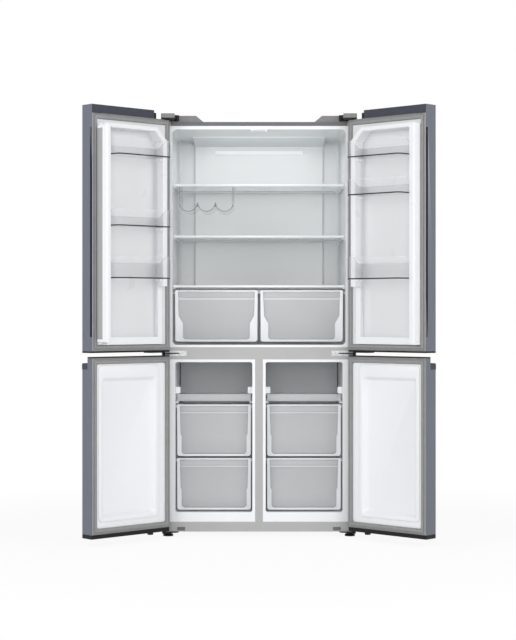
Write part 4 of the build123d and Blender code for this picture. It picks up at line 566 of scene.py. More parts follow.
class FRIDGE_OT_bins(Operator):
    """Model the clear bins of the upper doors"""

    bl_idname = "fridge.bins"
    bl_label = "Door bins"

    # The dark lower edge is partly smoke and partly painted dark refraction; the upright line in the hinge
    # corner is painted dark refraction
    CLEAR, SMOKED, RIM, LINE = range(4)  # material slots
    BACK_ROUND = 3 * MM
    BACK_DROP = 24 * MM  # top edge by the door, below the top of the front wall
    SLOPE = (40 * MM, 72 * MM)  # distances from the door between which the top edge rises
    BASE_FLAT, BASE_ROUND = 4 * MM, 0.8 * MM  # insets of the base's underside
    RIM_DEPTH, RIM_OUT, RIM_IN = 1.2 * MM, 0.6 * MM, 0.4 * MM  # rounding of the top edge
    FILLET, FILLET_STEP = 3 * MM, 1 * MM  # rounding between walls and base, inside
    SIDE_NEAR = 3 * MM  # faces this near the free side belong to it
    # The upright line is painted dark refraction at the round of the hinge corner
    LINE_HALF = 4 * MM  # half width of the smoked line in the hinge corner, and its gap to the top
    LINE_PLACE, LINE_REACH = 0.3, 0.75  # where it lies, as shares of the corner's radius

    def execute(self, context):
        for side in SIDES:
            door = f"upper_{side}_door"
            node = door + "_bins"
            made = Builder()
            for low, high in loose_boxes(node, door_turn(door).inverted()):
                self.bin(made, low, high, low.x if side == "left" else high.x)
            materials = [clear_plastic("clear", 0.07), grained_plastic("smoke", 0.3),
                         clear_plastic("rim_white", 0.45), clear_plastic("smoke", 0.7)]
            piece = made.piece(door + "_clear_bins", materials, door, "clear_plastic", door_turn(door),
                               flip=True)
            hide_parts(node)
        return {"FINISHED"}

    def bin(self, made, low, high, hinge_x):
        wall = sizes().bin_wall
        edge = sizes().bin_edge
        corner = sizes().bin_round
        rise_from, rise_to = (low.y + distance for distance in self.SLOPE)

        def plan(inset):
            """Outline of the bin, with points where the sides' top edge begins and ends its rise."""
            x0, x1 = low.x + inset, high.x - inset
            back, front = self.BACK_ROUND, corner - inset
            loop = rectangle(x0, x1, low.y + inset, high.y - inset, [back, back, front, front])
            half = len(loop) // 2
            right, left = [(x1, rise_from), (x1, rise_to)], [(x0, rise_to), (x0, rise_from)]
            return loop[:half] + right + loop[half:] + left

        def level(inset, z):
            return [(x, y, z) for x, y in plan(inset)]

        def rim(inset, lower):
            loop = []
            for x, y in plan(inset):
                share = min(1.0, max(0.0, (y - rise_from) / (rise_to - rise_from)))
                loop.append((x, y, high.z - self.BACK_DROP * (1 - share) - lower))
            return loop

        base = low.z + wall
        loops = [level(self.BASE_FLAT, low.z), level(self.BASE_ROUND, low.z),
                 level(0, low.z + self.BASE_ROUND), level(0, low.z + edge),
                 rim(0, self.RIM_DEPTH), rim(self.RIM_OUT, 0), rim(wall - self.RIM_IN, 0),
                 rim(wall, self.RIM_DEPTH), level(wall, base + self.FILLET),
                 level(wall + self.FILLET_STEP, base + self.FILLET_STEP), level(wall + self.FILLET, base)]
        # The top edge's faces take a whiter, more opaque plastic as a painted highlight
        slots = [self.CLEAR, self.SMOKED, self.SMOKED, self.CLEAR] + [self.RIM] * 3 + [self.CLEAR] * 3
        since = len(made.faces)
        made.loft(loops, slots=slots)
        line = hinge_x + math.copysign(corner * self.LINE_PLACE, (low.x + high.x) / 2 - hinge_x)

        def smoked(centre):
            """Front and free side keep their dark lower edge, partly smoke and partly painted dark
            refraction; the hinge corner has an upright line of painted dark refraction.
            """
            if centre.z < low.z + edge:
                front = centre.y > high.y - corner
                free = abs(centre.x - hinge_x) > high.x - low.x - self.SIDE_NEAR
                return None if front or free else self.CLEAR
            near = abs(centre.x - line) < self.LINE_HALF and centre.y > high.y - corner * self.LINE_REACH
            return self.LINE if near and centre.z < high.z - self.LINE_HALF else None

        made.recolour(since, smoked)


class FRIDGE_OT_freezer_panels(Operator):
    """Model the softly moulded inner panels of the lower doors"""

    bl_idname = "fridge.freezer_panels"
    bl_label = "Lower door panels"

    # Widths on the hinge, free, bottom and top side
    PANEL = (37 * MM, 6 * MM, 26 * MM, 5.5 * MM)  # seal to raised panel
    RIM = (18 * MM, 17 * MM, 12 * MM, 51 * MM)  # raised panel to its hollow
    SLOPE = (20 * MM, 14 * MM, 22 * MM, 16 * MM)  # the hollow's slopes
    FLANGE = 2.5 * MM  # flange above the seal's seat
    FLOOR = 2.6 * MM  # hollow's floor above the liner's back
    SHEET = 2.2 * MM
    # Rows in millimetres: share of PANEL, more inset, height above the flange, corner radius
    EDGE_ROWS = ((0, 0, -0.8, 9), (0, 0.8, 0, 9), (0.35, 0, 0, 10), (0.7, 0, 0, 11), (1, -2.6, 0, 19),
                 (1, -1.2, 0.5, 18), (1, -0.3, 1.6, 18))
    # Share of RIM, more inset, depth below the rim's top, corner radius
    RIM_ROWS = ((0, 0.3, 1.8, 18), (0, 1.0, 0.6, 18), (0, 2.4, 0, 17), (0.5, 0, 0, 14), (1, -2.5, 0, 12),
                (1, -0.8, 0.5, 11))
    STEPS = 8  # rows on the hollow's slopes
    STRAIGHT = 0.35  # share of an even slope in their curve
    FLOOR_LESS, FLOOR_INSET = 3, 1  # millimetres off the corner radius and inset at the hollow's floor

    def execute(self, context):
        for side in SIDES:
            self.panel(f"lower_{side}_door")
        return {"FINISHED"}

    def panel(self, door):
        node = door + "_liner"
        low, high = closed_box(node, door)
        flange = closed_box(door + "_gasket", door)[0].y + self.FLANGE
        floor = low.y + self.FLOOR

        def inset(panel, rim=0.0, slope=0.0, more=0.0):
            widths = zip(self.PANEL, self.RIM, self.SLOPE)
            return [a * panel + b * rim + c * slope + more * MM for a, b, c in widths]

        front = [(inset(share, more=more), flange + rise * MM, corner)
                 for share, more, rise, corner in self.EDGE_ROWS]
        front += [(inset(1, share, more=more), high.y - below * MM, corner)
                  for share, more, below, corner in self.RIM_ROWS]
        brim, corner = front[-1][1:]
        for step in range(1, self.STEPS):
            share = step / self.STEPS
            ease = 0.5 - 0.5 * math.cos(math.pi * share)
            down = self.STRAIGHT * share + (1 - self.STRAIGHT) * ease
            front.append((inset(1, 1, share), brim + (floor - brim) * down, corner - self.FLOOR_LESS * share))
        front.append((inset(1, 1, 1, self.FLOOR_INSET), floor, corner - self.FLOOR_LESS))
        back = [(sides, y - self.SHEET, radius) for sides, y, radius in reversed(front)]
        loops = []
        for (hinge, free, bottom, top), y, radius in back + front:
            left, right = (hinge, free) if door.endswith("left_door") else (free, hinge)
            plan = rectangle(low.x + left, high.x - right, low.z + bottom, high.z - top, radius * MM)
            loops.append([(x, y, z) for x, z in plan])
        made = Builder()
        made.loft(loops)
        piece = made.piece(door + "_panel", [moulded_plastic("rim_white", 0.3)], door, "door_liner",
                           door_turn(door), smooth_angle=MOULDED)
        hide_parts(node)


class FRIDGE_OT_doors(Operator):
    """Finish the skins, cores and liners of the doors"""

    bl_idname = "fridge.doors"
    bl_label = "Doors"

    EDGE, CAP, DARK = range(3)  # material slots of a core
    MARGIN = 1.5 * MM  # seal to the door's edge
    NEAR = 0.1 * MM  # tolerance for faces that lie on a limit
    STEP = 1 * MM  # smallest step in a skin that counts
    SLOT_REACH, SLOT_DEPTH = 20.5 * MM, 12.5 * MM  # grip slot, from the free edge and the seal's seat
    # Faces this far below the rim take the greyer white of painted shade
    HOLLOW = 45 * MM  # depth below the rim from which a face belongs to the hollow's floor
    SKIN_ROUND, LINER_ROUND = 0.3 * MM, 1.2 * MM

    def execute(self, context):
        for side in SIDES:
            upper, lower = f"upper_{side}_door", f"lower_{side}_door"
            for door in (upper, lower):
                finish(door + "_skin", door_paint(), ease=self.SKIN_ROUND)
                finish(door + "_gasket", seal_rubber())
                self.core(door)
            self.liner(upper)
            finish(upper + "_bins", clear_plastic("clear", 0.07))
            finish(lower + "_liner", moulded_plastic("rim_white", 0.3))
        return {"FINISHED"}

    def liner(self, door):
        """White rims round a hollow painted a greyer white as shade."""
        back = door_turn(door).inverted()
        floor = closed_box(door + "_liner", door)[1].y - self.HOLLOW
        # The hollow takes a greyer copy of the same white plastic, as painted shade
        finish(door + "_liner", moulded_plastic("rim_white", 0.28), moulded_plastic("pocket_white", 0.28),
               choose=lambda centre: 1 if (back @ centre).y < floor else 0, ease=self.LINER_ROUND, segments=3)

    def core(self, door):
        """Grey edge between skin and seal, black caps, dark blue top cap or grip, dark grip slot."""
        low, high = closed_box(door + "_gasket", door)
        back = door_turn(door).inverted()
        skin = [back @ v.co for v in NODES[door + "_skin"].data.vertices]
        outside = min(v.y for v in skin)
        grip = max(v.z for v in skin if v.y < outside + self.STEP)
        step = min(v.y for v in skin if v.z > grip + self.STEP) if grip < high.z else outside
        free = high.x + self.MARGIN if door.endswith("left_door") else low.x - self.MARGIN
        reach = self.MARGIN + self.NEAR
        upper = door.startswith("upper")

        def choose(centre):
            here = back @ centre
            if here.z < low.z - reach:
                return self.CAP
            if here.z > high.z + reach:
                return self.DARK if upper else self.CAP
            if upper:
                held = abs(here.x - free) < self.SLOT_REACH and here.y > low.y - self.SLOT_DEPTH
            else:
                held = here.z > grip - self.NEAR and here.y < step + self.NEAR
            return self.DARK if held else self.EDGE

        finish(door + "_core", moulded_plastic("seal", 0.5), grained_plastic("black", 0.4),
               grained_plastic("cap_blue", 0.42), choose=choose)


class FRIDGE_OT_mullion(Operator):
    """Model the flip mullion: white bar, steel strip and end caps"""

    bl_idname = "fridge.mullion"
    bl_label = "Flip mullion"

    BAR, STRIP = range(2)  # material slots
    ROUNDS = (4 * MM, 2 * MM, 0, 0, 4 * MM, 4 * MM)
    STRIP_WIDTH, STRIP_STEP = 36 * MM, 0.5 * MM  # steel strip on the bar's outer side
    STRIP_REACH = 2.5 * MM  # faces this near the outer side can belong to it
    NEAR = 0.1 * MM
    CAP_HEIGHT, CAP_INSET = 13 * MM, 0.4 * MM
    # Rise from the bar's end and inset of each row
    ENDS = ((0, 2.5 * MM), (0.3 * MM, 1.2 * MM), (1.2 * MM, CAP_INSET), (CAP_HEIGHT, CAP_INSET),
            (CAP_HEIGHT, 0))

    def execute(self, context):
        low, high = closed_box("flip_mullion", LEFT_DOOR)
        strip = low.y + self.STRIP_WIDTH
        step = self.STRIP_STEP

        def section(inset, z):
            """Outline of the bar at a height, with the strip's two edges on its outer side."""
            x0, x1, y0, y1 = low.x + inset, high.x - inset, low.y + inset, high.y - inset
            points = [(x0, y0), (x1, y0), (x1, strip - step), (x1 - step, strip), (x1 - step, y1), (x0, y1)]
            return [(x, y, z) for x, y in rounded(points, self.ROUNDS)]

        def surface(centre):
            along = low.z + self.CAP_HEIGHT < centre.z < high.z - self.CAP_HEIGHT
            outer = centre.y < strip - self.NEAR and centre.x > high.x - self.STRIP_REACH
            return self.STRIP if along and outer else self.BAR

        loops = [section(inset, low.z + rise) for rise, inset in self.ENDS]
        loops += [section(inset, high.z - rise) for rise, inset in reversed(self.ENDS)]
        made = Builder()
        made.loft(loops)
        made.recolour(0, surface)
        materials = [moulded_plastic("rim_white", 0.35), frame_paint("mullion_grey")]
        piece = made.piece("mullion_bar", materials, "flip_mullion", "frame_grey", door_turn(LEFT_DOOR))
        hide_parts("flip_mullion")
        finish("flip_mullion", materials[0])
        return {"FINISHED"}


class FRIDGE_OT_cabinet(Operator):
    """Finish the cabinet's steel, frame, liners and covers"""

    bl_idname = "fridge.cabinet"
    bl_label = "Cabinet"

    TOP_RAIL = 17.5 * MM
    # Faces within this depth of the front take the lighter white of painted light
    FLANGE = 0.5 * MM  # front flanges of the liners
    LAP = 7 * MM  # liner edge over the frame's sides
    LAP_PROUD = 0.15 * MM  # stays under the gap of the closed seals
    LAP_CORNER, LAP_ROUND = 2 * MM, 0.1 * MM
    FOLD_ROUND, DUCT_ROUND = 0.5 * MM, 1 * MM

    def execute(self, context):
        fold = self.FOLD_ROUND
        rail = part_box("front_frame")[1].z - self.TOP_RAIL
        finish("front_frame", frame_paint("frame_grey"), frame_paint("rail_grey"),
               choose=lambda centre: 1 if centre.z > rail else 0, ease=fold)
        finish("cabinet_shell", frame_paint("cabinet_grey"))
        finish("rear_panel", frame_paint("cabinet_grey"), ease=fold)
        finish("frame_plugs", grained_plastic("cabinet_grey", 0.5), ease=fold)
        finish("machine_cover", grained_plastic("black", 0.5), ease=fold)
        finish("lamp_lens", lamp_glow(), ease=fold)
        finish("mullion_guide", moulded_plastic("rim_white", 0.3), ease=fold)
        finish("cabinet_insulation", insulation_foam())
        finish("bottom_deck compressor_base", bright_zinc())
        liner = moulded_plastic("liner_white", 0.22)
        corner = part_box("fridge_liner")[0]
        # The liners' front flanges take the lighter rim white and the rest the greyer liner white: painted
        # light on one white plastic
        finish("fridge_liner freezer_liners", liner, moulded_plastic("rim_white", 0.3),
               choose=below(Y, corner.y + self.FLANGE))
        # Duct cover faces below the refrigerator liner take the greyer white as painted shade
        finish("duct_covers", liner, moulded_plastic("freezer_grey", 0.3), choose=below(Z, corner.z),
               ease=self.DUCT_ROUND)
        self.laps()
        return {"FINISHED"}

    def laps(self):
        """White edges of the liners, lapped over the sides of the frame, in the lighter white of the painted
        light on the front flanges.
        """
        made = Builder()
        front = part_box("front_frame")[0].y
        for node in ("fridge_liner", "freezer_liners"):
            low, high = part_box(node)
            for x in (low.x - self.LAP, high.x):
                strip = rectangle(x, x + self.LAP, low.z, high.z, self.LAP_CORNER, steps=3)
                made.plate(strip, [], front - self.LAP_PROUD, front + self.LAP_PROUD)
        piece = made.piece("liner_laps", [moulded_plastic("rim_white", 0.3)], "cabinet", "liner_white")
        soften(piece, self.LAP_ROUND)


class FRIDGE_OT_inside(Operator):
    """Finish the shelves, rack, trays and runners"""

    bl_idname = "fridge.inside"
    bl_label = "Shelves and trays"

    # The rack's front faces take a near-black veil, partly smoke tint and partly painted dark refraction
    # outline
    RACK_EDGE = 0.5 * MM  # smoked front edge of the bottle rack
    TRAY_LIP = 3.5 * MM  # whiter front lip of a tray

    def execute(self, context):
        ease = sizes().edge_round
        finish("shelf_glass", shelf_glass(), ease=ease)
        finish("shelf_trims drawer_runners", moulded_plastic("rim_white", 0.3), ease=ease)
        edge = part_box("bottle_rack")[0].y + self.RACK_EDGE
        finish("bottle_rack", clear_plastic("smoke", 0.12), clear_plastic("smoke", 0.8),
               choose=below(Y, edge))
        for side in SIDES:
            tray = f"freezer_tray_{side}"
            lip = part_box(tray)[0].y + self.TRAY_LIP
            finish(tray, clear_plastic("clear", 0.2), clear_plastic("frost", 0.36),
                   choose=below(Y, lip), ease=ease)
        return {"FINISHED"}


class FRIDGE_OT_drawers(Operator):
    """Model the crispers and freezer drawers: frame, grip and clear tub"""

    bl_idname = "fridge.drawers"
    bl_label = "Crispers and drawers"

    FRAME, BAND, FACE, TUB, GRIP = range(5)  # material slots
    # Frame's sides above and below the step, the step's levels below the top, band under the grip, tub's step
    CRISPER = {"sides": (15.5 * MM, 34 * MM), "step": (111 * MM, 144 * MM), "strip": 9 * MM, "tub": 16 * MM}
    DRAWER = {"sides": (15 * MM, 19.5 * MM), "step": (126 * MM, 138 * MM), "strip": 6.5 * MM, "tub": 5 * MM}
    TAPER, SLANT = 1.2 * MM, 3 * MM  # the frame is narrower at its foot, its opening wider at the top
    OUTER_ROUNDS = (10 * MM, 10 * MM, 2 * MM, 2 * MM)
    OPENING_ROUNDS = (13 * MM, 13 * MM, 9 * MM, 9 * MM, 1.5 * MM, 1.5 * MM, 9 * MM, 9 * MM)
    OVERLAP = 1 * MM  # band and trough behind the frame
    BAND_SET = 0.6 * MM  # band behind the frame's face
    SHELL = 1.6 * MM  # wall of the grip trough
    MOUTH = 2 * MM  # trough's rim before the frame's back
    GRIP_STEPS, GRIP_SKEW = 10, 0.7  # a skew below 1 makes the trough deepest near its top
    FLANGE, TUB_CORNER = 7 * MM, 9 * MM
    TOP_GAP = 0.5 * MM  # tub's top below the frame's
    LIP = 0.6 * MM  # rounding of the tub's top edge
    DRAFT, STEP_RISE = 0.5 * MM, 1 * MM  # lean of the back below the step, and the step's rise inside
    # Rows of a tub's flange in millimetres: drop below the top, in from its edge, in at the front and back
    FLANGE_ROWS = ((4.5, 7, 0), (4.3, 0.6, 0), (0.6, 0.4, 0), (0, 1.2, 0.6))
    # Rows of a tub's foot in millimetres: rise outside, rise inside, drawn in at the side, front and back
    FOOT = ((1, 3.4, 15, 14, 14), (1.4, 4, 9, 8, 9), (4, 6, 4, 3, 4), (10, 11, 1, 0.6, 1))
    # The tub's front wall takes a paler, more veiled white: partly milky plastic, partly painted light for
    # the shaded tub
    FACE_DEPTH, FACE_FOOT = 0.4 * MM, 9 * MM  # faces before and above these are the paler front wall

    def execute(self, context):
        for side in SIDES:
            self.drawer(f"crisper_{side}", self.CRISPER)
            for level in ("upper", "lower"):
                self.drawer(f"freezer_drawer_{level}_{side}", self.DRAWER)
        return {"FINISHED"}

    def drawer(self, node, form):
        low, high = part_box(node)
        materials = [clear_plastic("rim_white", cover) for cover in (0.82, 0.5, 0.36)]
        materials += [clear_plastic("frost", 0.18), clear_plastic("grip_grey", 0.5)]
        finish(node, materials[self.FRAME])
        front = Builder()
        self.frame(front, low, high, form)
        self.grip(front, low, high, form)
        piece = front.piece(node + "_front", materials, node, "door_liner")
        soften(piece, sizes().edge_round)
        tub = Builder()
        self.tub(tub, low, high, form)
        clear = tub.piece(node + "_tub", materials, node, "clear_plastic", smooth_angle=MOULDED)
        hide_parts(node)

    def frame(self, made, low, high, form):
        wide, narrow = form["sides"]
        upper, lower = (high.z - drop for drop in form["step"])
        lip = high.z - sizes().frame_lip
        strip = lip - sizes().grip_height
        foot = low.z + sizes().frame_foot
        left, right = low.x, high.x
        back = low.y + sizes().frame_depth
        outer = [(left + self.TAPER, low.z), (right - self.TAPER, low.z), (right, high.z), (left, high.z)]
        half = [(narrow, foot), (narrow, lower), (wide, upper), (wide - self.SLANT, lip)]
        opening = [(left + narrow, foot)] + [(right - inward, z) for inward, z in half]
        opening += [(left + inward, z) for inward, z in half[:0:-1]]
        made.plate(rounded(outer, self.OUTER_ROUNDS), [rounded(opening, self.OPENING_ROUNDS)], low.y, back)
        side = wide - self.OVERLAP
        band = rectangle(left + side, right - side, strip - form["strip"], strip, self.OVERLAP)
        made.plate(band, [], low.y + self.BAND_SET, back - self.OVERLAP, slot=self.BAND)

    def grip(self, made, low, high, form):
        """Hollow behind the frame's upper opening, for the fingers."""
        lip = high.z - sizes().frame_lip + self.OVERLAP
        strip = high.z - sizes().frame_lip - sizes().grip_height - self.OVERLAP
        mouth = low.y + sizes().frame_depth - self.MOUTH
        curve = []
        for step in range(self.GRIP_STEPS + 1):
            share = step / self.GRIP_STEPS
            deep = math.sin(math.pi * share ** self.GRIP_SKEW) * sizes().grip_depth
            curve.append((mouth + deep, lip + (strip - lip) * share))
        profile = curve + [(y + self.SHELL, z) for y, z in reversed(curve)]
        side = form["sides"][0] - self.SLANT
        loops = [[(x, y, z) for y, z in profile] for x in (low.x + side, high.x - side)]
        made.loft(loops, slot=self.GRIP)

    def tub(self, made, low, high, form):
        wall = sizes().tub_wall
        step = form["tub"]
        upper, lower = (high.z - drop for drop in form["step"])
        face = low.y + sizes().frame_depth
        top = high.z - self.TOP_GAP
        lip, flange = self.LIP, self.FLANGE
        thin = wall - lip

        def level(z, side, ahead, behind):
            x0, x1 = low.x + flange + side, high.x - flange - side
            plan = rectangle(x0, x1, face + ahead, high.y - behind, self.TUB_CORNER)
            return [(x, y, z) for x, y in plan]

        loops = [level(low.z + rise * MM, step + side * MM, ahead * MM, behind * MM)
                 for rise, _, side, ahead, behind in self.FOOT]
        loops += [level(lower, step, 0, self.DRAFT), level(upper, 0, 0, 0)]
        loops += [level(top - drop * MM, side * MM - flange, ends * MM, ends * MM)
                  for drop, side, ends in self.FLANGE_ROWS]
        loops += [level(top, thin, thin, thin), level(top - lip, wall, wall, wall),
                  level(upper + self.STEP_RISE, wall, wall, wall),
                  level(lower + self.STEP_RISE, step + wall, wall, wall + self.DRAFT)]
        loops += [level(low.z + rise * MM, step + side * MM + wall, wall + ahead * MM, wall + behind * MM)
                  for _, rise, side, ahead, behind in reversed(self.FOOT)]
        made.loft(loops, slot=self.TUB)
        inner = face + wall + self.FACE_DEPTH
        foot = low.z + self.FACE_FOOT
        # Front-wall faces get the paler veil, partly painted light
        made.recolour(0, lambda centre: self.FACE if centre.y < inner and centre.z > foot else None)


class FRIDGE_OT_hinges(Operator):
    """Finish the hinges and model the dark pieces round them"""

    bl_idname = "fridge.hinges"
    bl_label = "Hinges"

    ROUND, SLAB_ROUND = 0.5 * MM, 0.6 * MM
    PLATE = 3.2 * MM  # bright plate of a middle hinge, before the cabinet's front
    NOSE = 57 * MM  # width of a hinge cover's nose
    NOSE_DROP = 3.5 * MM  # its lower edge below the top of the hinge
    NOSE_BAND = 5.5 * MM  # height of its dark lower edge
    BAND_BACK, BAND_CORNER = 2 * MM, 1 * MM  # its reach behind the cabinet's front, and its corners
    OVER = 0.25 * MM  # the dark edge stands out from the nose
    END_LAP, END_WIDTH = 0.5 * MM, 16.5 * MM  # dark end beside the nose
    END_FRONT, END_BACK, END_CORNER = 7.5 * MM, 10 * MM, 2.5 * MM  # its reach from the cabinet's front
    END_DROP, END_TOP = 2.2 * MM, 0.3 * MM  # its foot below the dark edge, its top below the cover's
    STEP_RADIUS = 63.2 * MM  # hollow side of the cap's step, round the pivot
    STEP_COUNT = 8
    STEP_LEVELS = (35 * MM, 10.5 * MM)  # foot and top of the step, below the door's top
    STEP_GAPS = (1.5 * MM, 1 * MM)  # from the door's outer face and the seal's seat
    NOTCH = 82.8 * MM  # door's side to the step's straight side
    CLOSER = (12 * MM, 92 * MM, -28 * MM, 20 * MM)  # from the pivot along and across the door
    CLOSER_CORNER = 6 * MM
    CLOSER_LEVELS = (-4.4 * MM, 0.3 * MM)  # from the door's underside

    def execute(self, context):
        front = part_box("front_frame")[0].y
        finish("middle_hinges", bright_zinc(), black_enamel(), choose=below(Y, front - self.PLATE),
               ease=self.ROUND)
        finish("top_hinges bottom_hinges", black_enamel(), ease=self.ROUND)
        finish("hinge_covers", grained_plastic("cover_grey", 0.45), ease=self.ROUND)
        finish("hinge_screws", bright_zinc(), ease=self.ROUND)
        pivot = Vector(JOINTS[LEFT_DOOR + "_hinge"]["pos_m"])
        for side in SIDES:
            self.cover_ends(side, front)
            self.cap_step(side, pivot)
            self.closer(side, pivot)
        return {"FINISHED"}

    def slab(self, name, plan, z0, z1, side, body, matrix=None):
        """Upright block of a plan drawn for the left side, with eased edges."""
        sign = 1 if side == "left" else -1
        made = Builder()
        made.loft([[(sign * x, y, z) for x, y in plan] for z in (z0, z1)])
        piece = made.piece(name, [black_enamel()], body, "dark_plastic", matrix, flip=sign < 0)
        soften(piece, self.SLAB_ROUND)

    def cover_ends(self, side, front):
        """Dark lower edge of a cover's nose, and the dark end beside it on the cabinet's top."""
        low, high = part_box("hinge_covers")
        over = self.OVER
        nose = low.x + self.NOSE
        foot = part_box("top_hinges")[1].z - self.NOSE_DROP
        band = rectangle(low.x - over, nose + over, low.y - over, front + self.BAND_BACK,
                         self.BAND_CORNER, steps=3)
        self.slab(f"hinge_cover_edge_{side}", band, foot, foot + self.NOSE_BAND, side, "cabinet")
        end = rectangle(nose - self.END_LAP, nose + self.END_WIDTH, front - self.END_FRONT,
                        front + self.END_BACK, self.END_CORNER, steps=3)
        z0, z1 = foot - self.END_DROP, high.z - self.END_TOP
        self.slab(f"hinge_cover_end_{side}", end, z0, z1, side, "cabinet")

    def cap_step(self, side, pivot):
        """Dark step between a top cap and its hinge notch."""
        door = f"upper_{side}_door"
        low, high = closed_box(LEFT_DOOR + "_skin", LEFT_DOOR)
        wall = low.x + self.NOTCH
        y0 = low.y + self.STEP_GAPS[0]
        y1 = closed_box(LEFT_DOOR + "_gasket", LEFT_DOOR)[0].y - self.STEP_GAPS[1]
        plan = [(wall, y0), (wall, y1)]
        for index in range(self.STEP_COUNT, -1, -1):
            y = y0 + (y1 - y0) * index / self.STEP_COUNT
            plan.append((pivot.x + math.sqrt(self.STEP_RADIUS ** 2 - (y - pivot.y) ** 2), y))
        z0, z1 = (high.z - drop for drop in self.STEP_LEVELS)
        self.slab(f"upper_{side}_cap_step", plan, z0, z1, side, door, door_turn(door))

    def closer(self, side, pivot):
        """Dark closing cam under an upper door, beside its lower pivot."""
        door = f"upper_{side}_door"
        z = closed_box(LEFT_DOOR + "_core", LEFT_DOOR)[0].z
        x0, x1, y0, y1 = self.CLOSER
        plan = rectangle(pivot.x + x0, pivot.x + x1, pivot.y + y0, pivot.y + y1, self.CLOSER_CORNER, steps=4)
        z0, z1 = (z + rise for rise in self.CLOSER_LEVELS)
        self.slab(f"upper_{side}_closer", plan, z0, z1, side, door, door_turn(door))


class FRIDGE_OT_machinery(Operator):
    """Finish the cooling machinery, rollers and feet"""

    bl_idname = "fridge.machinery"
    bl_label = "Machinery and feet"

    def execute(self, context):
        finish("compressor condenser fan_motors", black_enamel())
        finish("evaporator", coil_aluminium())
        finish("condenser_fan evaporator_fan", grained_plastic("cabinet_grey", 0.5))
        finish("drain_pan rear_roller_left rear_roller_right", grained_plastic("black", 0.5))
        finish("leveling_foot_left leveling_foot_right", grained_plastic("black", 0.45))
        return {"FINISHED"}


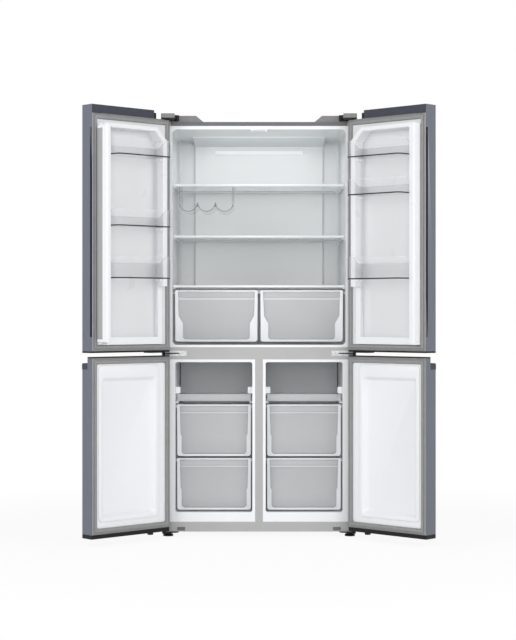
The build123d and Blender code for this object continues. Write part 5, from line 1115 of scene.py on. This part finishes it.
class FRIDGE_OT_stage(Operator):
    """Set the floor, the lights and the camera"""

    bl_idname = "fridge.stage"
    bl_label = "Stage"

    FLOOR_SIZE = 60.0
    FLOOR_NEAR, FLOOR_FAR = 0.9, 2.4  # distances between which the floor fades to plain white
    # Place, aim, width, height and the setting that holds the power
    LIGHTS = {
        "right_light": ((3.6, -3.4, 2.6), (0, 0, 0.9), 2.0, 2.4, "side"),
        "left_light": ((-3.6, -3.4, 2.6), (0, 0, 0.9), 2.0, 2.4, "side"),
        "front_light": ((0, -6.9, 2.0), (0, 0, 1.0), 3.0, 2.4, "front"),
        "inner_light": ((0, 0.05, 1.715), (0, 0.3, 1.0), 0.5, 0.12, "inner"),
    }
    SENSOR, CLIP_END = 36.0, 200.0

    def execute(self, context):
        self.floor(context.scene)
        self.world(context.scene)
        self.lights(context.scene)
        self.camera(context.scene)
        context.scene.view_settings.view_transform = "Standard"
        return {"FINISHED"}

    def seen(self, tree):
        """Is the ray one that shows the background: camera, glossy or transmitted."""
        path = tree.node("LightPath").outputs
        total = path["Is Camera Ray"]
        for name in ("Is Glossy Ray", "Is Transmission Ray"):
            total = tree.node("Math", {0: total, 1: path[name]}, operation="MAXIMUM").outputs[0]
        return total

    def mix(self, tree, share, first, second, output):
        """Two shaders mixed by a share, on their way to an output."""
        made = tree.node("MixShader", {"Fac": share, 1: first, 2: second})
        tree.put(tree.tree.nodes[output], {"Surface": made.outputs["Shader"]})

    def floor(self, scene):
        bpy.ops.mesh.primitive_plane_add(size=self.FLOOR_SIZE)
        made = bpy.context.object
        made.name = "floor"
        look = Finish("pale_floor", "floor", roughness=0.9)
        place = look.node("TexCoord").outputs["Object"]
        distance = look.node("VectorMath", {0: place}, operation="LENGTH").outputs["Value"]
        inputs = {"Value": distance, "From Min": self.FLOOR_NEAR, "From Max": self.FLOOR_FAR,
                  "To Min": scene.fridge_stage.floor_white}
        fade = look.node("MapRange", inputs, interpolation_type="SMOOTHSTEP").outputs["Result"]
        share = look.node("Math", {0: self.seen(look), 1: fade}, operation="MULTIPLY").outputs[0]
        glow = look.node("Emission").outputs["Emission"]
        self.mix(look, share, look.shader.outputs["BSDF"], glow, "Material Output")
        made.data.materials.append(look.material)

    def world(self, scene):
        """Even light from all sides, and plain white where the background itself shows."""
        scene.world = bpy.data.worlds.new("studio")
        scene.world.use_nodes = True
        tree = Tree(scene.world.node_tree)
        ambient = tree.tree.nodes["Background"]
        tree.put(ambient, {"Color": WHITE, "Strength": scene.fridge_stage.world})
        white = tree.node("Background", {"Color": WHITE, "Strength": 1.0})
        self.mix(tree, self.seen(tree), ambient.outputs[0], white.outputs[0], "World Output")

    def lights(self, scene):
        for name, (place, aim, width, height, setting) in self.LIGHTS.items():
            data = bpy.data.lights.new(name, "AREA")
            data.shape = "RECTANGLE"
            data.size = width
            data.size_y = height
            data.energy = getattr(scene.fridge_stage, setting)
            made = bpy.data.objects.new(name, data)
            made.location = place
            made.rotation_euler = (Vector(aim) - Vector(place)).to_track_quat("-Z", "Y").to_euler()
            scene.collection.objects.link(made)

    def camera(self, scene):
        stage = scene.fridge_stage
        data = bpy.data.cameras.new("camera")
        data.lens = stage.focal
        data.sensor_width = self.SENSOR
        data.shift_x = stage.shift_x
        data.shift_y = stage.shift_y
        data.clip_end = self.CLIP_END
        made = bpy.data.objects.new("camera", data)
        made.location = (0, -stage.camera_distance, stage.camera_height)
        made.rotation_euler = (math.radians(90), 0, 0)
        scene.collection.objects.link(made)
        scene.camera = made


class FRIDGE_PT_pieces(Panel):
    """Buttons for each group of pieces"""

    bl_idname = "FRIDGE_PT_pieces"
    bl_label = "Refrigerator"
    bl_space_type = "VIEW_3D"
    bl_region_type = "UI"
    bl_category = "Refrigerator"

    def draw(self, context):
        for operator in OPERATORS:
            self.layout.operator(operator.bl_idname)


OPERATORS = (
    FRIDGE_OT_doors,
    FRIDGE_OT_seals,
    FRIDGE_OT_bins,
    FRIDGE_OT_freezer_panels,
    FRIDGE_OT_mullion,
    FRIDGE_OT_cabinet,
    FRIDGE_OT_inside,
    FRIDGE_OT_drawers,
    FRIDGE_OT_hinges,
    FRIDGE_OT_machinery,
    FRIDGE_OT_stage,
)
GROUPS = {
    "fridge_colours": FridgeColours,
    "fridge_sizes": FridgeSizes,
    "fridge_stage": FridgeStage,
}
CLASSES = tuple(GROUPS.values()) + OPERATORS + (FRIDGE_PT_pieces,)


def register():
    for cls in CLASSES:
        bpy.utils.register_class(cls)
    for name, group in GROUPS.items():
        setattr(bpy.types.Scene, name, PointerProperty(type=group))


def unregister():
    for name in GROUPS:
        delattr(bpy.types.Scene, name)
    for cls in reversed(CLASSES):
        bpy.utils.unregister_class(cls)


def main():
    register()
    for operator in OPERATORS:
        getattr(bpy.ops.fridge, operator.bl_idname.split(".")[1])()


if __name__ == "__main__":
    main()
